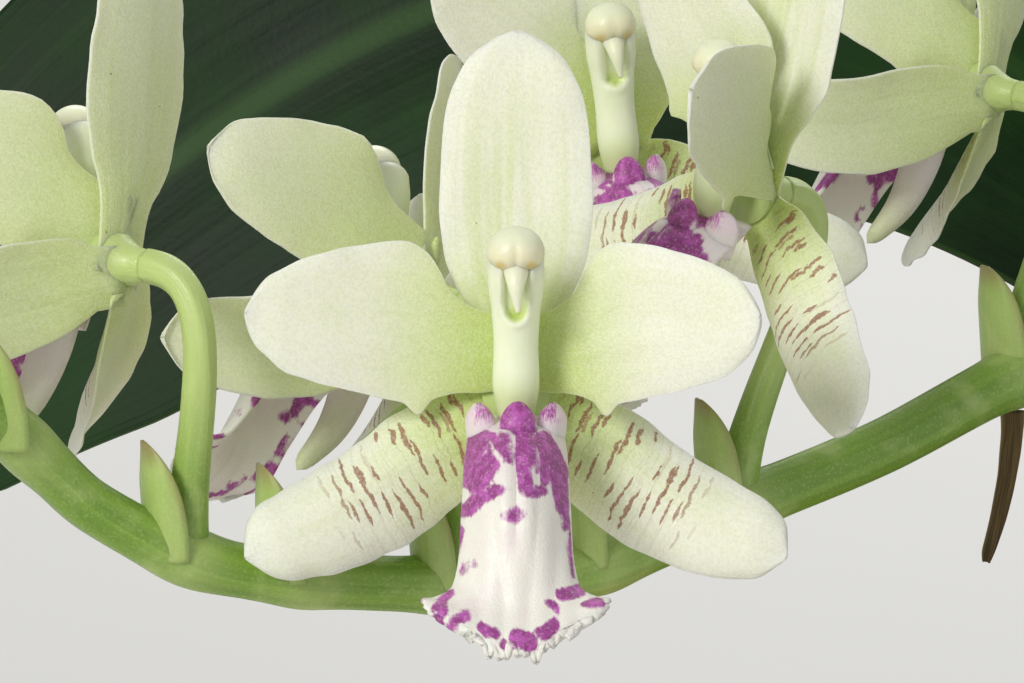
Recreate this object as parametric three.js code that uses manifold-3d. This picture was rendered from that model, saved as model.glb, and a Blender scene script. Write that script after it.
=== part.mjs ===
// Potted Phalaenopsis japonica: a small orchid in a clay pot, with one arching raceme of flowers.
// Units are millimetres and +Z is up. The origin is the centre of the pot's flat underside. The raceme leaves
// the rosette towards -X and -Y, and a flower's own frame has +X to the viewer's right, +Z up, and faces -Y.
import * as THREE from 'three';
import { mergeVertices } from 'three/addons/utils/BufferGeometryUtils.js';
import Module from 'manifold-3d';

const wasm = await Module();
wasm.setup();

const GAP = 0.35; // clear space between two pieces that rest on or grow against each other

// Pot and potting medium
const POT_HEIGHT = 82;
const POT_FOOT_RADIUS = 36;
const POT_RIM_RADIUS = 52;
const POT_RIM_HEIGHT = 16;
const POT_RIM_OVERHANG = 3.5;
const POT_WALL = 5;
const POT_FLOOR = 7;
const POT_BEVEL = 1;
const POT_SIDES = 32;
const DRAIN_HOLES = 4;
const DRAIN_RADIUS = 4;
const DRAIN_RING_RADIUS = 20;
const MEDIUM_TOP = 72;
const CHIP_COUNT = 14;
const CHIP_RING_RADIUS = 36;

// Stem, roots and leaves
const STEM_PATH = [[0, 0, 63], [0, 0, 78], [0, 0, 92], [0, 0, 103]];
const STEM_RADII = [4.2, 5, 4.2, 2.4];
const LEAF_THICKNESS = 1.5;
const LEAF_ROWS = 9;
const LEAF_COLUMNS = 4;

// Flower, measured from the point where its five tepals meet
const TEPAL_THICKNESS = 0.62;
const DORSAL_FOLD_SHARE = 0.25; // the dorsal sepal leans forward by this share of the other tepals' fold
const TWIST_END = 0.15; // share of a tepal's length over which its twist builds up
const TEPAL_ANCHOR = 1.3; // length of a tepal's foot inside the hub that joins the five
const HUB_CENTRE = [0, 1, 0];
const HUB_RADII = [2.3, 1.4, 2.3];
const PEDICEL_RADII = [1.5, 1.2, 1.15, 1.2, 1.15];
const PEDICEL_RINGS = 7;
const PEDICEL_RISE = 0.35; // the foot's and the seat's handles, as shares of the distance between them
const PEDICEL_BEND = 0.4;
const PEDICEL_SEAT = HUB_CENTRE[1] + HUB_RADII[1] + GAP;

// Raceme
const STALK_RADII = [2.1, 1.85, 1.7, 1.5, 1.45, 1.3, 1.0];
const STALK_RINGS = 30;
const BUD_LENGTH = 7.5;
const BUD_RADIUS = 2.5;

const rad = THREE.MathUtils.degToRad;
const vec = (p) => new THREE.Vector3(...p);
const curveThrough = (points) => new THREE.CatmullRomCurve3(points.map(vec), false, 'catmullrom', 0.5);

// A repeatable stream of numbers from 0 to 1.
function randomStream(seed) {
  let state = seed;
  return () => {
    state = (state * 1664525 + 1013904223) % 4294967296;
    return state / 4294967296;
  };
}

// The value at t of a line through evenly spaced values.
function along(values, t) {
  const place = THREE.MathUtils.clamp(t, 0, 1) * (values.length - 1);
  const i = Math.min(Math.floor(place), values.length - 2);
  return THREE.MathUtils.lerp(values[i], values[i + 1], place - i);
}

// The two half-widths at u of an outline whose rows are [u, upper half-width, lower half-width].
function halfWidths(outline, u) {
  const i = Math.max(1, outline.findIndex((row) => row[0] >= u - 1e-9));
  const [u0, upper0, lower0] = outline[i - 1];
  const [u1, upper1, lower1] = outline[i];
  const share = THREE.MathUtils.clamp((u - u0) / (u1 - u0), 0, 1);
  return [THREE.MathUtils.lerp(upper0, upper1, share), THREE.MathUtils.lerp(lower0, lower1, share)];
}

// A closed geometry as a manifold-3d solid.
function solid(geometry) {
  const bare = geometry.index ? geometry.toNonIndexed() : geometry.clone();
  bare.deleteAttribute('normal');
  bare.deleteAttribute('uv');
  const merged = mergeVertices(bare, 1e-4);
  return new wasm.Manifold(
    new wasm.Mesh({
      numProp: 3,
      vertProperties: merged.attributes.position.array,
      triVerts: new Uint32Array(merged.index.array),
    }),
  );
}

function fuse(solids) {
  return solids.reduce((whole, piece) => whole.add(piece));
}

// The largest body of a solid by itself: hollows that fusing sealed are filled and loose scraps are dropped.
function largestBody(body) {
  return body.decompose().reduce((best, next) => (next.volume() > best.volume() ? next : best));
}

function mesh(name, body, material) {
  const shape = largestBody(body).getMesh();
  const geometry = new THREE.BufferGeometry();
  geometry.setAttribute('position', new THREE.BufferAttribute(shape.vertProperties, 3));
  geometry.setIndex(new THREE.BufferAttribute(shape.triVerts, 1));
  geometry.computeVertexNormals();
  const piece = new THREE.Mesh(geometry, material);
  piece.name = name;
  return piece;
}

// A closed blade: a grid of points over u from base to tip and v from -1 to 1 across, thickened along its normals.
function blade(surface, rows, columns, thickness) {
  const centre = [];
  for (let i = 0; i <= rows; i += 1) {
    const u = 1 - (1 - i / rows) ** 1.3;
    for (let j = 0; j <= columns; j += 1) centre.push(vec(surface(u, (2 * j) / columns - 1)));
  }
  const at = (i, j) => i * (columns + 1) + j;
  const point = (i, j) => centre[at(THREE.MathUtils.clamp(i, 0, rows), THREE.MathUtils.clamp(j, 0, columns))];
  const positions = [[], []];
  for (let i = 0; i <= rows; i += 1) {
    for (let j = 0; j <= columns; j += 1) {
      const lengthwise = point(i + 1, j).clone().sub(point(i - 1, j));
      const crosswise = point(i, j + 1).clone().sub(point(i, j - 1));
      const half = lengthwise.cross(crosswise).normalize().multiplyScalar(thickness / 2);
      positions[0].push(point(i, j).clone().add(half));
      positions[1].push(point(i, j).clone().sub(half));
    }
  }
  const under = centre.length;
  const faces = [];
  for (let i = 0; i < rows; i += 1) {
    for (let j = 0; j < columns; j += 1) {
      const [a, b, c, d] = [at(i, j), at(i + 1, j), at(i + 1, j + 1), at(i, j + 1)];
      faces.push(a, b, c, a, c, d);
      faces.push(a + under, c + under, b + under, a + under, d + under, c + under);
    }
    const [a, b] = [at(i, 0), at(i + 1, 0)];
    const [c, d] = [at(i, columns), at(i + 1, columns)];
    faces.push(a + under, b + under, b, a + under, b, a);
    faces.push(c + under, d, d + under, c + under, c, d);
  }
  for (let j = 0; j < columns; j += 1) {
    const [a, d] = [at(0, j), at(0, j + 1)];
    const [b, c] = [at(rows, j), at(rows, j + 1)];
    faces.push(a + under, d, d + under, a + under, a, d);
    faces.push(b + under, c + under, c, b + under, c, b);
  }
  const geometry = new THREE.BufferGeometry().setFromPoints(positions.flat());
  geometry.setIndex(faces);
  return solid(geometry);
}

// A closed round tube along a curve, with its radius given at evenly spaced places and its ends closed by fans.
// Widening moves its whole surface outwards, ends included.
function tube(curve, radii, rings, sides, widening = 0) {
  const { tangents, normals, binormals } = curve.computeFrenetFrames(rings, false);
  const centres = tangents.map((tangent, i) => {
    const past = (i === rings) - (i === 0);
    return curve.getPointAt(i / rings).addScaledVector(tangent, past * widening);
  });
  const points = [];
  for (let i = 0; i <= rings; i += 1) {
    const centre = centres[i];
    const radius = along(radii, i / rings) + widening;
    for (let j = 0; j < sides; j += 1) {
      const turn = (2 * Math.PI * j) / sides;
      const out = normals[i].clone().multiplyScalar(Math.cos(turn) * radius);
      points.push(centre.clone().add(out).addScaledVector(binormals[i], Math.sin(turn) * radius));
    }
  }
  const start = points.push(centres[0]) - 1;
  const end = points.push(centres[rings]) - 1;
  const faces = [];
  for (let j = 0; j < sides; j += 1) {
    const next = (j + 1) % sides;
    for (let i = 0; i < rings; i += 1) {
      const [a, b] = [i * sides + j, i * sides + next];
      faces.push(a, b, b + sides, a, b + sides, a + sides);
    }
    faces.push(start, next, j, end, rings * sides + j, rings * sides + next);
  }
  const geometry = new THREE.BufferGeometry().setFromPoints(points);
  geometry.setIndex(faces);
  return solid(geometry);
}

function ellipsoid(centre, radii, across, down) {
  const ball = new THREE.SphereGeometry(1, across, down);
  return solid(ball.scale(...radii).translate(...centre));
}

// A lathe turned so that its axis stands along +Z, from [radius, height] rows.
function turned(profile, sides) {
  const points = profile.map(([radius, height]) => new THREE.Vector2(radius, height));
  return new THREE.LatheGeometry(points, sides).rotateX(Math.PI / 2);
}

// Materials

function finish(color, roughness) {
  return new THREE.MeshStandardMaterial({ color, roughness, metalness: 0 });
}

const terracotta = finish(0xb5653f, 0.9);
const bark = finish(0x6b4a30, 0.95);
const velamen = finish(0xa9b39a, 0.8);
const leafGreen = finish(0x2c4a22, 0.45);
const stalkGreen = finish(0x738f38, 0.45);
const dryBract = finish(0x534d30, 0.85);
const tepalCream = finish(0xe2e9c1, 0.55);
const columnCream = finish(0xf1f6d6, 0.4);
const lipWhite = finish(0xdfc7d6, 0.45);
const budGreen = finish(0xb9c68a, 0.5);

// Pot

function potBody() {
  const shoulder = POT_HEIGHT - POT_RIM_HEIGHT;
  const neckRadius = POT_RIM_RADIUS - POT_RIM_OVERHANG;
  const innerRim = POT_RIM_RADIUS - POT_WALL;
  const profile = [
    [0, 0],
    [POT_FOOT_RADIUS - POT_BEVEL, 0],
    [POT_FOOT_RADIUS, POT_BEVEL],
    [neckRadius, shoulder],
    [POT_RIM_RADIUS - POT_BEVEL, shoulder],
    [POT_RIM_RADIUS, shoulder + POT_BEVEL],
    [POT_RIM_RADIUS, POT_HEIGHT - POT_BEVEL],
    [POT_RIM_RADIUS - POT_BEVEL, POT_HEIGHT],
    [innerRim + POT_BEVEL, POT_HEIGHT],
    [innerRim, POT_HEIGHT - POT_BEVEL],
    ...potInside().reverse(),
  ];
  const holes = Array.from({ length: DRAIN_HOLES }, (_, i) => {
    const turn = (2 * Math.PI * (i + 0.5)) / DRAIN_HOLES;
    const hole = new THREE.CylinderGeometry(DRAIN_RADIUS, DRAIN_RADIUS, 3 * POT_FLOOR, 12).rotateX(Math.PI / 2);
    return solid(hole.translate(DRAIN_RING_RADIUS * Math.cos(turn), DRAIN_RING_RADIUS * Math.sin(turn), 0));
  });
  return holes.reduce((body, hole) => body.subtract(hole), solid(turned(profile, POT_SIDES)));
}

// The pot's inside from the middle of its floor to the foot of its rim, as [radius, height] rows.
function potInside() {
  return [
    [0, POT_FLOOR],
    [POT_FOOT_RADIUS - POT_WALL + 1, POT_FLOOR],
    [POT_RIM_RADIUS - POT_RIM_OVERHANG - POT_WALL + 2, POT_HEIGHT - POT_RIM_HEIGHT],
  ];
}

// Potting medium: a plug of bark with loose chips lying on it, holed for the stem and the roots.
function mediumBody(plantHole) {
  const [, floorEdge, wallTop] = potInside();
  const plug = turned(
    [
      [0, floorEdge[1] + GAP],
      [floorEdge[0] - 2 * GAP, floorEdge[1] + GAP],
      [wallTop[0] - 1.5 * GAP, wallTop[1]],
      [wallTop[0] - 1.5 * GAP, MEDIUM_TOP - 1],
      [0, MEDIUM_TOP],
    ],
    POT_SIDES,
  );
  const random = randomStream(7);
  const chips = Array.from({ length: CHIP_COUNT }, (_, i) => {
    const size = [13 + 7 * random(), 9 + 4 * random(), 4 + 2 * random()];
    const chip = new THREE.BoxGeometry(...size);
    const distance = CHIP_RING_RADIUS * Math.sqrt((i + 0.5) / CHIP_COUNT);
    const bearing = i * rad(137.5) + 0.4 * random();
    chip.rotateX(rad(50 * (random() - 0.5)));
    chip.rotateY(rad(50 * (random() - 0.5)));
    chip.rotateZ(2 * Math.PI * random());
    const height = MEDIUM_TOP + 1.4 * random();
    return solid(chip.translate(distance * Math.cos(bearing), distance * Math.sin(bearing), height));
  });
  return fuse([solid(plug), ...chips]).subtract(plantHole);
}

// Roots: each starts inside the stem's foot, arches over the bark and goes into it or over the pot's rim.
const ROOTS = [
  { path: [[0, 0, 80], [8, 9, 83], [18, 19, 80], [25, 26, 70], [27, 29, 60]], radius: 2.4 },
  { path: [[0, 0, 79], [-10, 10, 82.5], [-21, 19, 79.5], [-28, 25, 68], [-29, 27, 58]], radius: 2.2 },
  { path: [[0, 0, 78], [2, -10, 82], [3, -22, 81], [2, -31, 71], [1, -34, 60]], radius: 2.3 },
  { path: [[0, 0, 81], [-9, -8, 84.5], [-21, -17, 83], [-30, -23, 74], [-33, -25, 62]], radius: 2.1 },
  { path: [[0, 0, 82], [1, 14, 88], [2, 32, 90.5], [1, 48, 90.5], [-1, 59, 84], [-2, 62, 70], [0, 61, 56]], radius: 2 },
  { path: [[0, 0, 82], [-5, -13, 88], [-12, -30, 91], [-17, -45, 91], [-20, -55, 84], [-20, -58, 70]], radius: 1.9 },
];

function rootTube(root, widening = 0) {
  const taper = [1.05, 1, 1, 0.95, 0.9, 0.75, 0.3].map((share) => share * root.radius);
  return tube(curveThrough(root.path), taper, 9, 6, widening);
}

function stemTube(widening = 0) {
  return tube(curveThrough(STEM_PATH), STEM_RADII, 4, 9, widening);
}

function stemWithRoots(widening = 0) {
  return fuse([stemTube(widening), ...ROOTS.map((root) => rootTube(root, widening))]);
}

// Leaves: a midrib through hand-set points, an oblong blade with a keel, and a turn about the midrib in degrees.
const LEAF_OUTLINE = [
  [0, 0.24, 0.24],
  [0.1, 0.36, 0.36],
  [0.25, 0.78, 0.76],
  [0.45, 1, 0.97],
  [0.7, 0.98, 1],
  [0.85, 0.82, 0.86],
  [0.95, 0.5, 0.6],
  [1, 0.12, 0.2],
];
const LEAVES = [
  {
    midrib: [[-4.9, 1, 94], [-14, 4, 117], [-29, 6, 134], [-45, 7, 140], [-62, 7, 137.5], [-78, 7, 129.5], [-92, 6, 118], [-103, 5, 105]],
    halfWidth: 17,
    turn: [0, -35, -62, -66, -66, -62],
  },
  {
    midrib: [[-5.7, -1.1, 86], [-18, -4, 89.5], [-36, -9, 90], [-52, -13, 88.8], [-66, -16, 81], [-77, -18, 69], [-83, -19, 56]],
    halfWidth: 13.5,
    turn: [0, 8, 9, 6],
  },
  {
    midrib: [[-4.5, 0, 100.5], [-8, 2, 119], [-15, 5, 139], [-21, 8, 157]],
    halfWidth: 9.5,
    turn: [0, 12, 20],
  },
  {
    midrib: [[5, 0, 89], [20, -2, 98], [43, -4, 98.5], [64, -5, 90], [82, -6, 75], [94, -6, 57]],
    halfWidth: 15.5,
    turn: [0, -6, -10, -4],
  },
  {
    midrib: [[4.6, 1, 95], [19, 3, 113], [41, 5, 123], [65, 6, 121], [88, 7, 109], [104, 7, 93]],
    halfWidth: 16,
    turn: [0, 10, 18, 22],
  },
  {
    midrib: [[4.1, -1, 100], [12, -2, 120], [26, -4, 139], [43, -6, 150], [60, -8, 152]],
    halfWidth: 13,
    turn: [0, -8, -14],
  },
  {
    midrib: [[4.6, -2.6, 84], [18, -11, 90], [34, -20, 91.5], [50, -29, 88], [62, -36, 78], [68, -40, 66]],
    halfWidth: 12.5,
    turn: [0, -4, -4],
  },
];

function leafBody(leaf) {
  const midrib = curveThrough(leaf.midrib);
  const keelDepth = 0.22;
  return blade(
    (u, v) => {
      const tangent = midrib.getTangentAt(u);
      const level = new THREE.Vector3(0, 0, 1).cross(tangent).normalize();
      const up = tangent.clone().cross(level);
      const turn = rad(along(leaf.turn, u));
      const across = level.clone().multiplyScalar(Math.cos(turn)).addScaledVector(up, Math.sin(turn));
      const face = tangent.clone().cross(across);
      const [upper, lower] = halfWidths(LEAF_OUTLINE, u);
      const reach = v * leaf.halfWidth * (v > 0 ? upper : lower);
      const keel = keelDepth * Math.abs(reach) * (1 - 0.5 * Math.abs(v));
      return midrib.getPointAt(u).addScaledVector(across, reach).addScaledVector(face, keel).toArray();
    },
    LEAF_ROWS,
    LEAF_COLUMNS,
    LEAF_THICKNESS,
  );
}

// Perianth outlines: rows of [u, upper half-width, lower half-width] in millimetres on the main flower.
const DORSAL_SEPAL = {
  base: [0, 0.75, 0.4],
  angle: 90,
  length: 17.7,
  forward: [-0.3, 1.5],
  cup: 0.5,
  outline: [
    [0, 1.2, 1.2],
    [0.18, 1.9, 1.9],
    [0.27, 3.0, 3.0],
    [0.38, 3.7, 3.7],
    [0.52, 3.87, 3.87],
    [0.66, 3.77, 3.77],
    [0.8, 3.45, 3.45],
    [0.93, 2.4, 2.4],
    [1, 0.7, 0.7],
  ],
};
const LATERAL_SEPAL = {
  base: [1, 0.75, -1.5],
  angle: -26.8,
  length: 14.4,
  forward: [0.3, 0.9],
  cup: -0.9,
  outline: [
    [0, 1.2, 1.3],
    [0.13, 1.9, 2.3],
    [0.29, 2.35, 3.1],
    [0.5, 2.0, 3.6],
    [0.7, 1.75, 3.4],
    [0.85, 1.6, 2.8],
    [0.95, 0.9, 1.9],
    [1, -0.1, 0.9],
  ],
};
const PETAL = {
  base: [1, -0.1, 1.6],
  angle: 8.9,
  length: 12.75,
  forward: [0.9, 1.5],
  cup: 0.35,
  outline: [
    [0, 1.3, 1.5],
    [0.12, 1.9, 1.8],
    [0.22, 3.0, 2.4],
    [0.27, 3.9, 3.4],
    [0.34, 4.8, 2.9],
    [0.42, 5.15, 2.85],
    [0.6, 4.6, 2.7],
    [0.8, 3.5, 2.3],
    [0.94, 2.3, 1.3],
    [1, 0.8, 0.1],
  ],
};

// One tepal on the side given by side (1 right, -1 left). Its pose folds it forward from the flower's plane, towards
// -Y, lifts its tip and twists it about its own length, all in degrees.
function tepal(shape, side, pose, rows, columns) {
  const [fold, angle] = [rad(pose.fold), rad(shape.angle + pose.lift)];
  const flat = Math.cos(fold);
  const lengthwise = new THREE.Vector3(Math.cos(angle) * flat, -Math.sin(fold), Math.sin(angle) * flat);
  const untwisted = new THREE.Vector3(-Math.sin(angle), 0, Math.cos(angle));
  const [slope, curl] = shape.forward;
  return blade(
    (step, v) => {
      const run = step * (shape.length + TEPAL_ANCHOR) - TEPAL_ANCHOR;
      const u = Math.max(0, run / shape.length);
      const [upper, lower] = halfWidths(shape.outline, u);
      const forward = (slope + curl * u) * u + shape.cup * v * v * Math.sin(Math.PI * u);
      const twist = rad(pose.twist) * Math.min(1, u / TWIST_END);
      const crosswise = untwisted.clone().applyAxisAngle(lengthwise, twist);
      const outward = lengthwise.clone().cross(crosswise);
      const point = vec(shape.base)
        .addScaledVector(lengthwise, run)
        .addScaledVector(crosswise, v * (v > 0 ? upper : lower))
        .addScaledVector(outward, forward);
      return [side * point.x, point.y, point.z];
    },
    rows,
    columns,
    TEPAL_THICKNESS,
  );
}

function perianthBody(flower, rows, columns) {
  const even = { fold: flower.fold, lift: 0, twist: 0 };
  return fuse([
    ellipsoid(HUB_CENTRE, HUB_RADII, 8, 4),
    tepal(DORSAL_SEPAL, 1, flower.dorsal ?? { ...even, fold: DORSAL_FOLD_SHARE * flower.fold }, rows, columns),
    ...[1, -1].map((side) => tepal(LATERAL_SEPAL, side, even, rows, columns)),
    tepal(PETAL, -1, flower.leftPetal ?? even, rows + 1, columns + 1),
    tepal(PETAL, 1, flower.rightPetal ?? even, rows + 1, columns + 1),
  ]);
}

// Column: a pillar that leans forward, its rounded anther cap and the pointed rostellum under the cap.
const COLUMN_PATH = [[0, -2.3, -0.3], [0, -2.5, 2.4], [0, -3.1, 5], [0, -4.0, 7.2]];
const COLUMN_RADII = [1.4, 1.2, 1.25, 1.45];
const ANTHER_CAP = { centre: [0, -4.3, 7.4], radii: [1.45, 1.35, 1.2] };
const ROSTELLUM_PATH = [[0, -5, 6.9], [0, -5.6, 5.6], [0.05, -5.6, 4.1]];
const ROSTELLUM_RADII = [0.75, 0.5, 0.12];

function columnBody(sides) {
  return fuse([
    tube(curveThrough(COLUMN_PATH), COLUMN_RADII, 3, sides),
    ellipsoid(ANTHER_CAP.centre, ANTHER_CAP.radii, sides, 4),
    tube(curveThrough(ROSTELLUM_PATH), ROSTELLUM_RADII, 2, 4),
  ]);
}

// Lip: an arched blade that flares at its fringed end, with two side ears at its foot and a spur behind it.
const LIP_PROFILE = [[-2.0, -1.5], [-5.2, -2.6], [-7.4, -5.4], [-8.0, -8.2], [-8.4, -10.4], [-9.3, -11.8], [-10.1, -12.8]];
const LIP_HALF_WIDTHS = [1.5, 2.5, 2.75, 2.95, 3.6, 4.7, 3.1];
const LIP_ARCH = [1.6, 2.6, 2.4, 1.8, 1.1, 0.5, 0.2];
const LIP_THICKNESS = 0.7;
const FRINGE_DEPTH = 0.32;
const EAR = { foot: [1.5, -2.9, -2.9], height: 2.1, halfWidth: 0.65 };
const SPUR_PATH = [[0, -2.5, -2.0], [0, -2.2, -4.8], [0, -2.6, -7.6], [0, -4.0, -10.2]];
const SPUR_RADII = [1.4, 1.15, 0.85, 0.4];

function lipBlade(rows, columns) {
  const profile = curveThrough(LIP_PROFILE.map(([y, z]) => [0, y, z]));
  return blade(
    (u, v) => {
      const middle = profile.getPoint(u);
      const reach = v * along(LIP_HALF_WIDTHS, u);
      const arch = along(LIP_ARCH, u) * v * v;
      const tooth = u > 0.99 ? FRINGE_DEPTH * Math.cos(Math.PI * (v + 1) * 0.5 * columns) : 0;
      const roundedEnd = 1.5 * v * v * u ** 6;
      return [reach, middle.y + arch, middle.z + roundedEnd - tooth];
    },
    rows,
    columns,
    LIP_THICKNESS,
  );
}

function lipEar(side) {
  const [x, y, z] = EAR.foot;
  return blade(
    (u, v) => [
      side * (x + 0.55 * u + 0.25 * v * v),
      y + v * EAR.halfWidth * (1 - 0.35 * u * u) - 0.4 * u,
      z + u * EAR.height,
    ],
    2,
    2,
    TEPAL_THICKNESS,
  );
}

function lipBody(rows, columns) {
  return fuse([
    lipBlade(rows, columns),
    lipEar(1),
    lipEar(-1),
    ellipsoid([0, -2.9, -2.5], [1.5, 1.0, 0.9], 6, 4),
    tube(curveThrough(SPUR_PATH), SPUR_RADII, 3, 5),
  ]);
}

// Raceme: flower_1 is nearest the rosette. Turn is about +Z, positive towards +X; tilt tips the face down; roll is
// about the facing axis; fold closes the tepals forward. node is where the pedicel leaves the stalk, upwards unless
// leaves gives another direction.
const STALK_PATH = [
  [-3.6, -4.6, 96], [-7, -13, 107], [-15, -26, 116.5], [-23.5, -37, 120.5], [-31.2, -45.5, 120.1], [-39.8, -52, 116.9],
  [-48, -57.4, 114.5], [-55.3, -61.8, 112.3], [-60.6, -64.9, 111.8], [-65.8, -67.8, 112.3], [-70.9, -70.3, 113.1],
  [-75.9, -72.6, 114.4], [-80.7, -74.7, 117.3], [-83.1, -75.9, 119.7], [-85.4, -77.5, 122.4], [-89.8, -80.9, 127.4],
  [-95.1, -84.3, 131.5], [-99.7, -87.9, 134.6],
];
const FLOWERS = [
  { at: [-33, -34, 135], turn: -125, tilt: -4, roll: -26, fold: 32, node: [-31.6, -45.4, 120.2] },
  {
    at: [-47.6, -59, 131.8],
    turn: -48,
    tilt: -6,
    roll: 14,
    fold: 6,
    rightPetal: { fold: 52, lift: 29, twist: -33 },
    leftPetal: { fold: 8, lift: 46, twist: 0 },
    node: [-48, -57.4, 114.5],
  },
  {
    at: [-54.3, -41, 132.3],
    turn: 8,
    tilt: -6,
    roll: -6,
    fold: 4,
    rightPetal: { fold: 6, lift: 56, twist: 0 },
    leftPetal: { fold: 4, lift: 40, twist: 0 },
    node: [-55.3, -61.8, 112.3],
    leaves: [0, 1, 0],
  },
  {
    at: [-59.8, -72.8, 123.2],
    turn: 0,
    tilt: -8,
    roll: 0,
    fold: 0,
    rightPetal: { fold: 20, lift: 0, twist: 0 },
    node: [-63.2, -66.4, 112],
  },
  {
    at: [-65.2, -60.5, 126.2],
    turn: -116,
    tilt: -4,
    roll: -27,
    fold: 30,
    dorsal: { fold: 14, lift: 25, twist: 0 },
    node: [-70.9, -70.3, 113.1],
  },
  { at: [-80.7, -69.5, 129.3], turn: -126, tilt: 0, roll: -24, fold: 34, node: [-76.6, -72.9, 114.7] },
  { at: [-98, -93, 117], turn: -36, tilt: -4, roll: -8, fold: 8, node: [-84.2, -76.8, 121], leaves: [-0.3, 0.5, 0.5] },
];
const MAIN_FLOWER = 3;
const BUDS = [
  { at: [-106, -86.5, 130.5], node: [-97.5, -86.3, 133.2], size: 1 },
  { at: [-104.5, -95, 138], node: [-98.5, -87, 133.8], size: 0.85 },
  { at: [-106.5, -90.5, 140.5], node: [-99.2, -87.6, 134.3], size: 0.7 },
];

function flowerGroup(flower) {
  const group = new THREE.Group();
  group.position.set(...flower.at);
  group.rotation.set(rad(flower.tilt), rad(flower.roll), rad(flower.turn), 'ZXY');
  group.updateMatrixWorld(true);
  return group;
}

// A pedicel rises from the stalk and bends over into the back of its flower, whose back points along backwards.
function pedicel(flower, seat, backwards) {
  const foot = vec(flower.node);
  const span = foot.distanceTo(seat);
  const rise = foot.clone().addScaledVector(vec(flower.leaves ?? [0, 0, 1]), PEDICEL_RISE * span);
  const bend = seat.clone().addScaledVector(backwards, PEDICEL_BEND * span);
  return tube(new THREE.CubicBezierCurve3(foot, rise, bend, seat), PEDICEL_RADII, PEDICEL_RINGS, 6);
}

// A bract that stands on the stalk and hugs its pedicel's foot from the outer side.
function bract(node) {
  const [length, halfWidth] = [6, 2.1];
  return blade(
    (u, v) => {
      const reach = v * halfWidth * Math.sqrt(1 - 0.9 * u * u);
      const away = 1.75 + 0.5 * u - 0.8 * v * v;
      return [node[0] - 0.95 * away - 0.3 * reach, node[1] - 0.3 * away + 0.95 * reach, node[2] + u * length];
    },
    3,
    2,
    TEPAL_THICKNESS,
  );
}

function stalkBody(flowerGroups) {
  const stalk = tube(curveThrough(STALK_PATH), STALK_RADII, STALK_RINGS, 7);
  const flowerParts = FLOWERS.flatMap((flower, i) => {
    const seat = flowerGroups[i].localToWorld(new THREE.Vector3(0, PEDICEL_SEAT, 0));
    const backwards = new THREE.Vector3(0, 1, 0).transformDirection(flowerGroups[i].matrixWorld);
    return [pedicel(flower, seat, backwards), bract(flower.node)];
  });
  const budStalks = BUDS.map((bud) => {
    const foot = vec(bud.node);
    const seat = vec(bud.at).lerp(foot, GAP / foot.distanceTo(vec(bud.at)));
    return tube(new THREE.LineCurve3(foot, seat), [0.9, 0.9], 2, 6);
  });
  return fuse([stalk, ...flowerParts, ...budStalks]);
}

// A bud stands on its stalk and is turned to carry that stalk's line on.
function budMesh(bud, i) {
  const [length, radius] = [BUD_LENGTH * bud.size, BUD_RADIUS * bud.size];
  const profile = [[0, 0], [0.45, 0.03], [0.85, 0.25], [1, 0.5], [0.85, 0.78], [0.4, 0.96], [0, 1]];
  const shape = turned(profile.map(([r, h]) => [r * radius, h * length]), 8);
  const piece = mesh(`bud_${i + 1}`, solid(shape), budGreen);
  const direction = vec(bud.at).sub(vec(bud.node)).normalize();
  piece.position.set(...bud.at);
  piece.quaternion.setFromUnitVectors(new THREE.Vector3(0, 0, 1), direction);
  return piece;
}

// A dried bract that hangs by its foot from the stalk's underside.
function dryBractBody() {
  const [x, y, z] = [-31.8, -45.4, 117.9];
  return blade((u, v) => [x - 1.4 * u * u + 0.65 * v * (1 - 0.5 * u), y + 0.3 * v * v, z - 8.6 * u], 5, 2, 0.6);
}

const orchid = new THREE.Group();

const medium = mediumBody(stemWithRoots(GAP));
orchid.add(mesh('pot', potBody(), terracotta));
orchid.add(mesh('potting_medium', medium, bark));
orchid.add(mesh('stem_with_roots', stemWithRoots(), velamen));
LEAVES.forEach((leaf, i) => orchid.add(mesh(`leaf_${i + 1}`, leafBody(leaf), leafGreen)));

const flowerGroups = FLOWERS.map(flowerGroup);
orchid.add(mesh('flower_stalk', stalkBody(flowerGroups), stalkGreen));
orchid.add(mesh('dry_bract', dryBractBody(), dryBract));
BUDS.forEach((bud, i) => orchid.add(budMesh(bud, i)));

flowerGroups.forEach((group, i) => {
  const [rows, columns] = i === MAIN_FLOWER ? [8, 5] : [4, 3];
  const name = `flower_${i + 1}`;
  group.add(mesh(`${name}_perianth`, perianthBody(FLOWERS[i], rows, columns), tepalCream));
  group.add(mesh(`${name}_column`, columnBody(i === MAIN_FLOWER ? 10 : 6), columnCream));
  group.add(mesh(`${name}_lip`, lipBody(i === MAIN_FLOWER ? 8 : 5, i === MAIN_FLOWER ? 8 : 4), lipWhite));
  orchid.add(group);
});

export default orchid;
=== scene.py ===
"""Potted Phalaenopsis japonica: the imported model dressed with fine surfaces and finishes, in a plain studio.

Lengths in the tables and formulas are millimetres, turned to metres where a mesh is made. A flower's own frame
has +X to the viewer's right, +Z up, and faces -Y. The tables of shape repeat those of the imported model's source.
"""

from __future__ import annotations

import logging
import math
from dataclasses import dataclass, field
from enum import Enum
from typing import Sequence

import bpy
import numpy as np
from mathutils import Matrix, Vector


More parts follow.
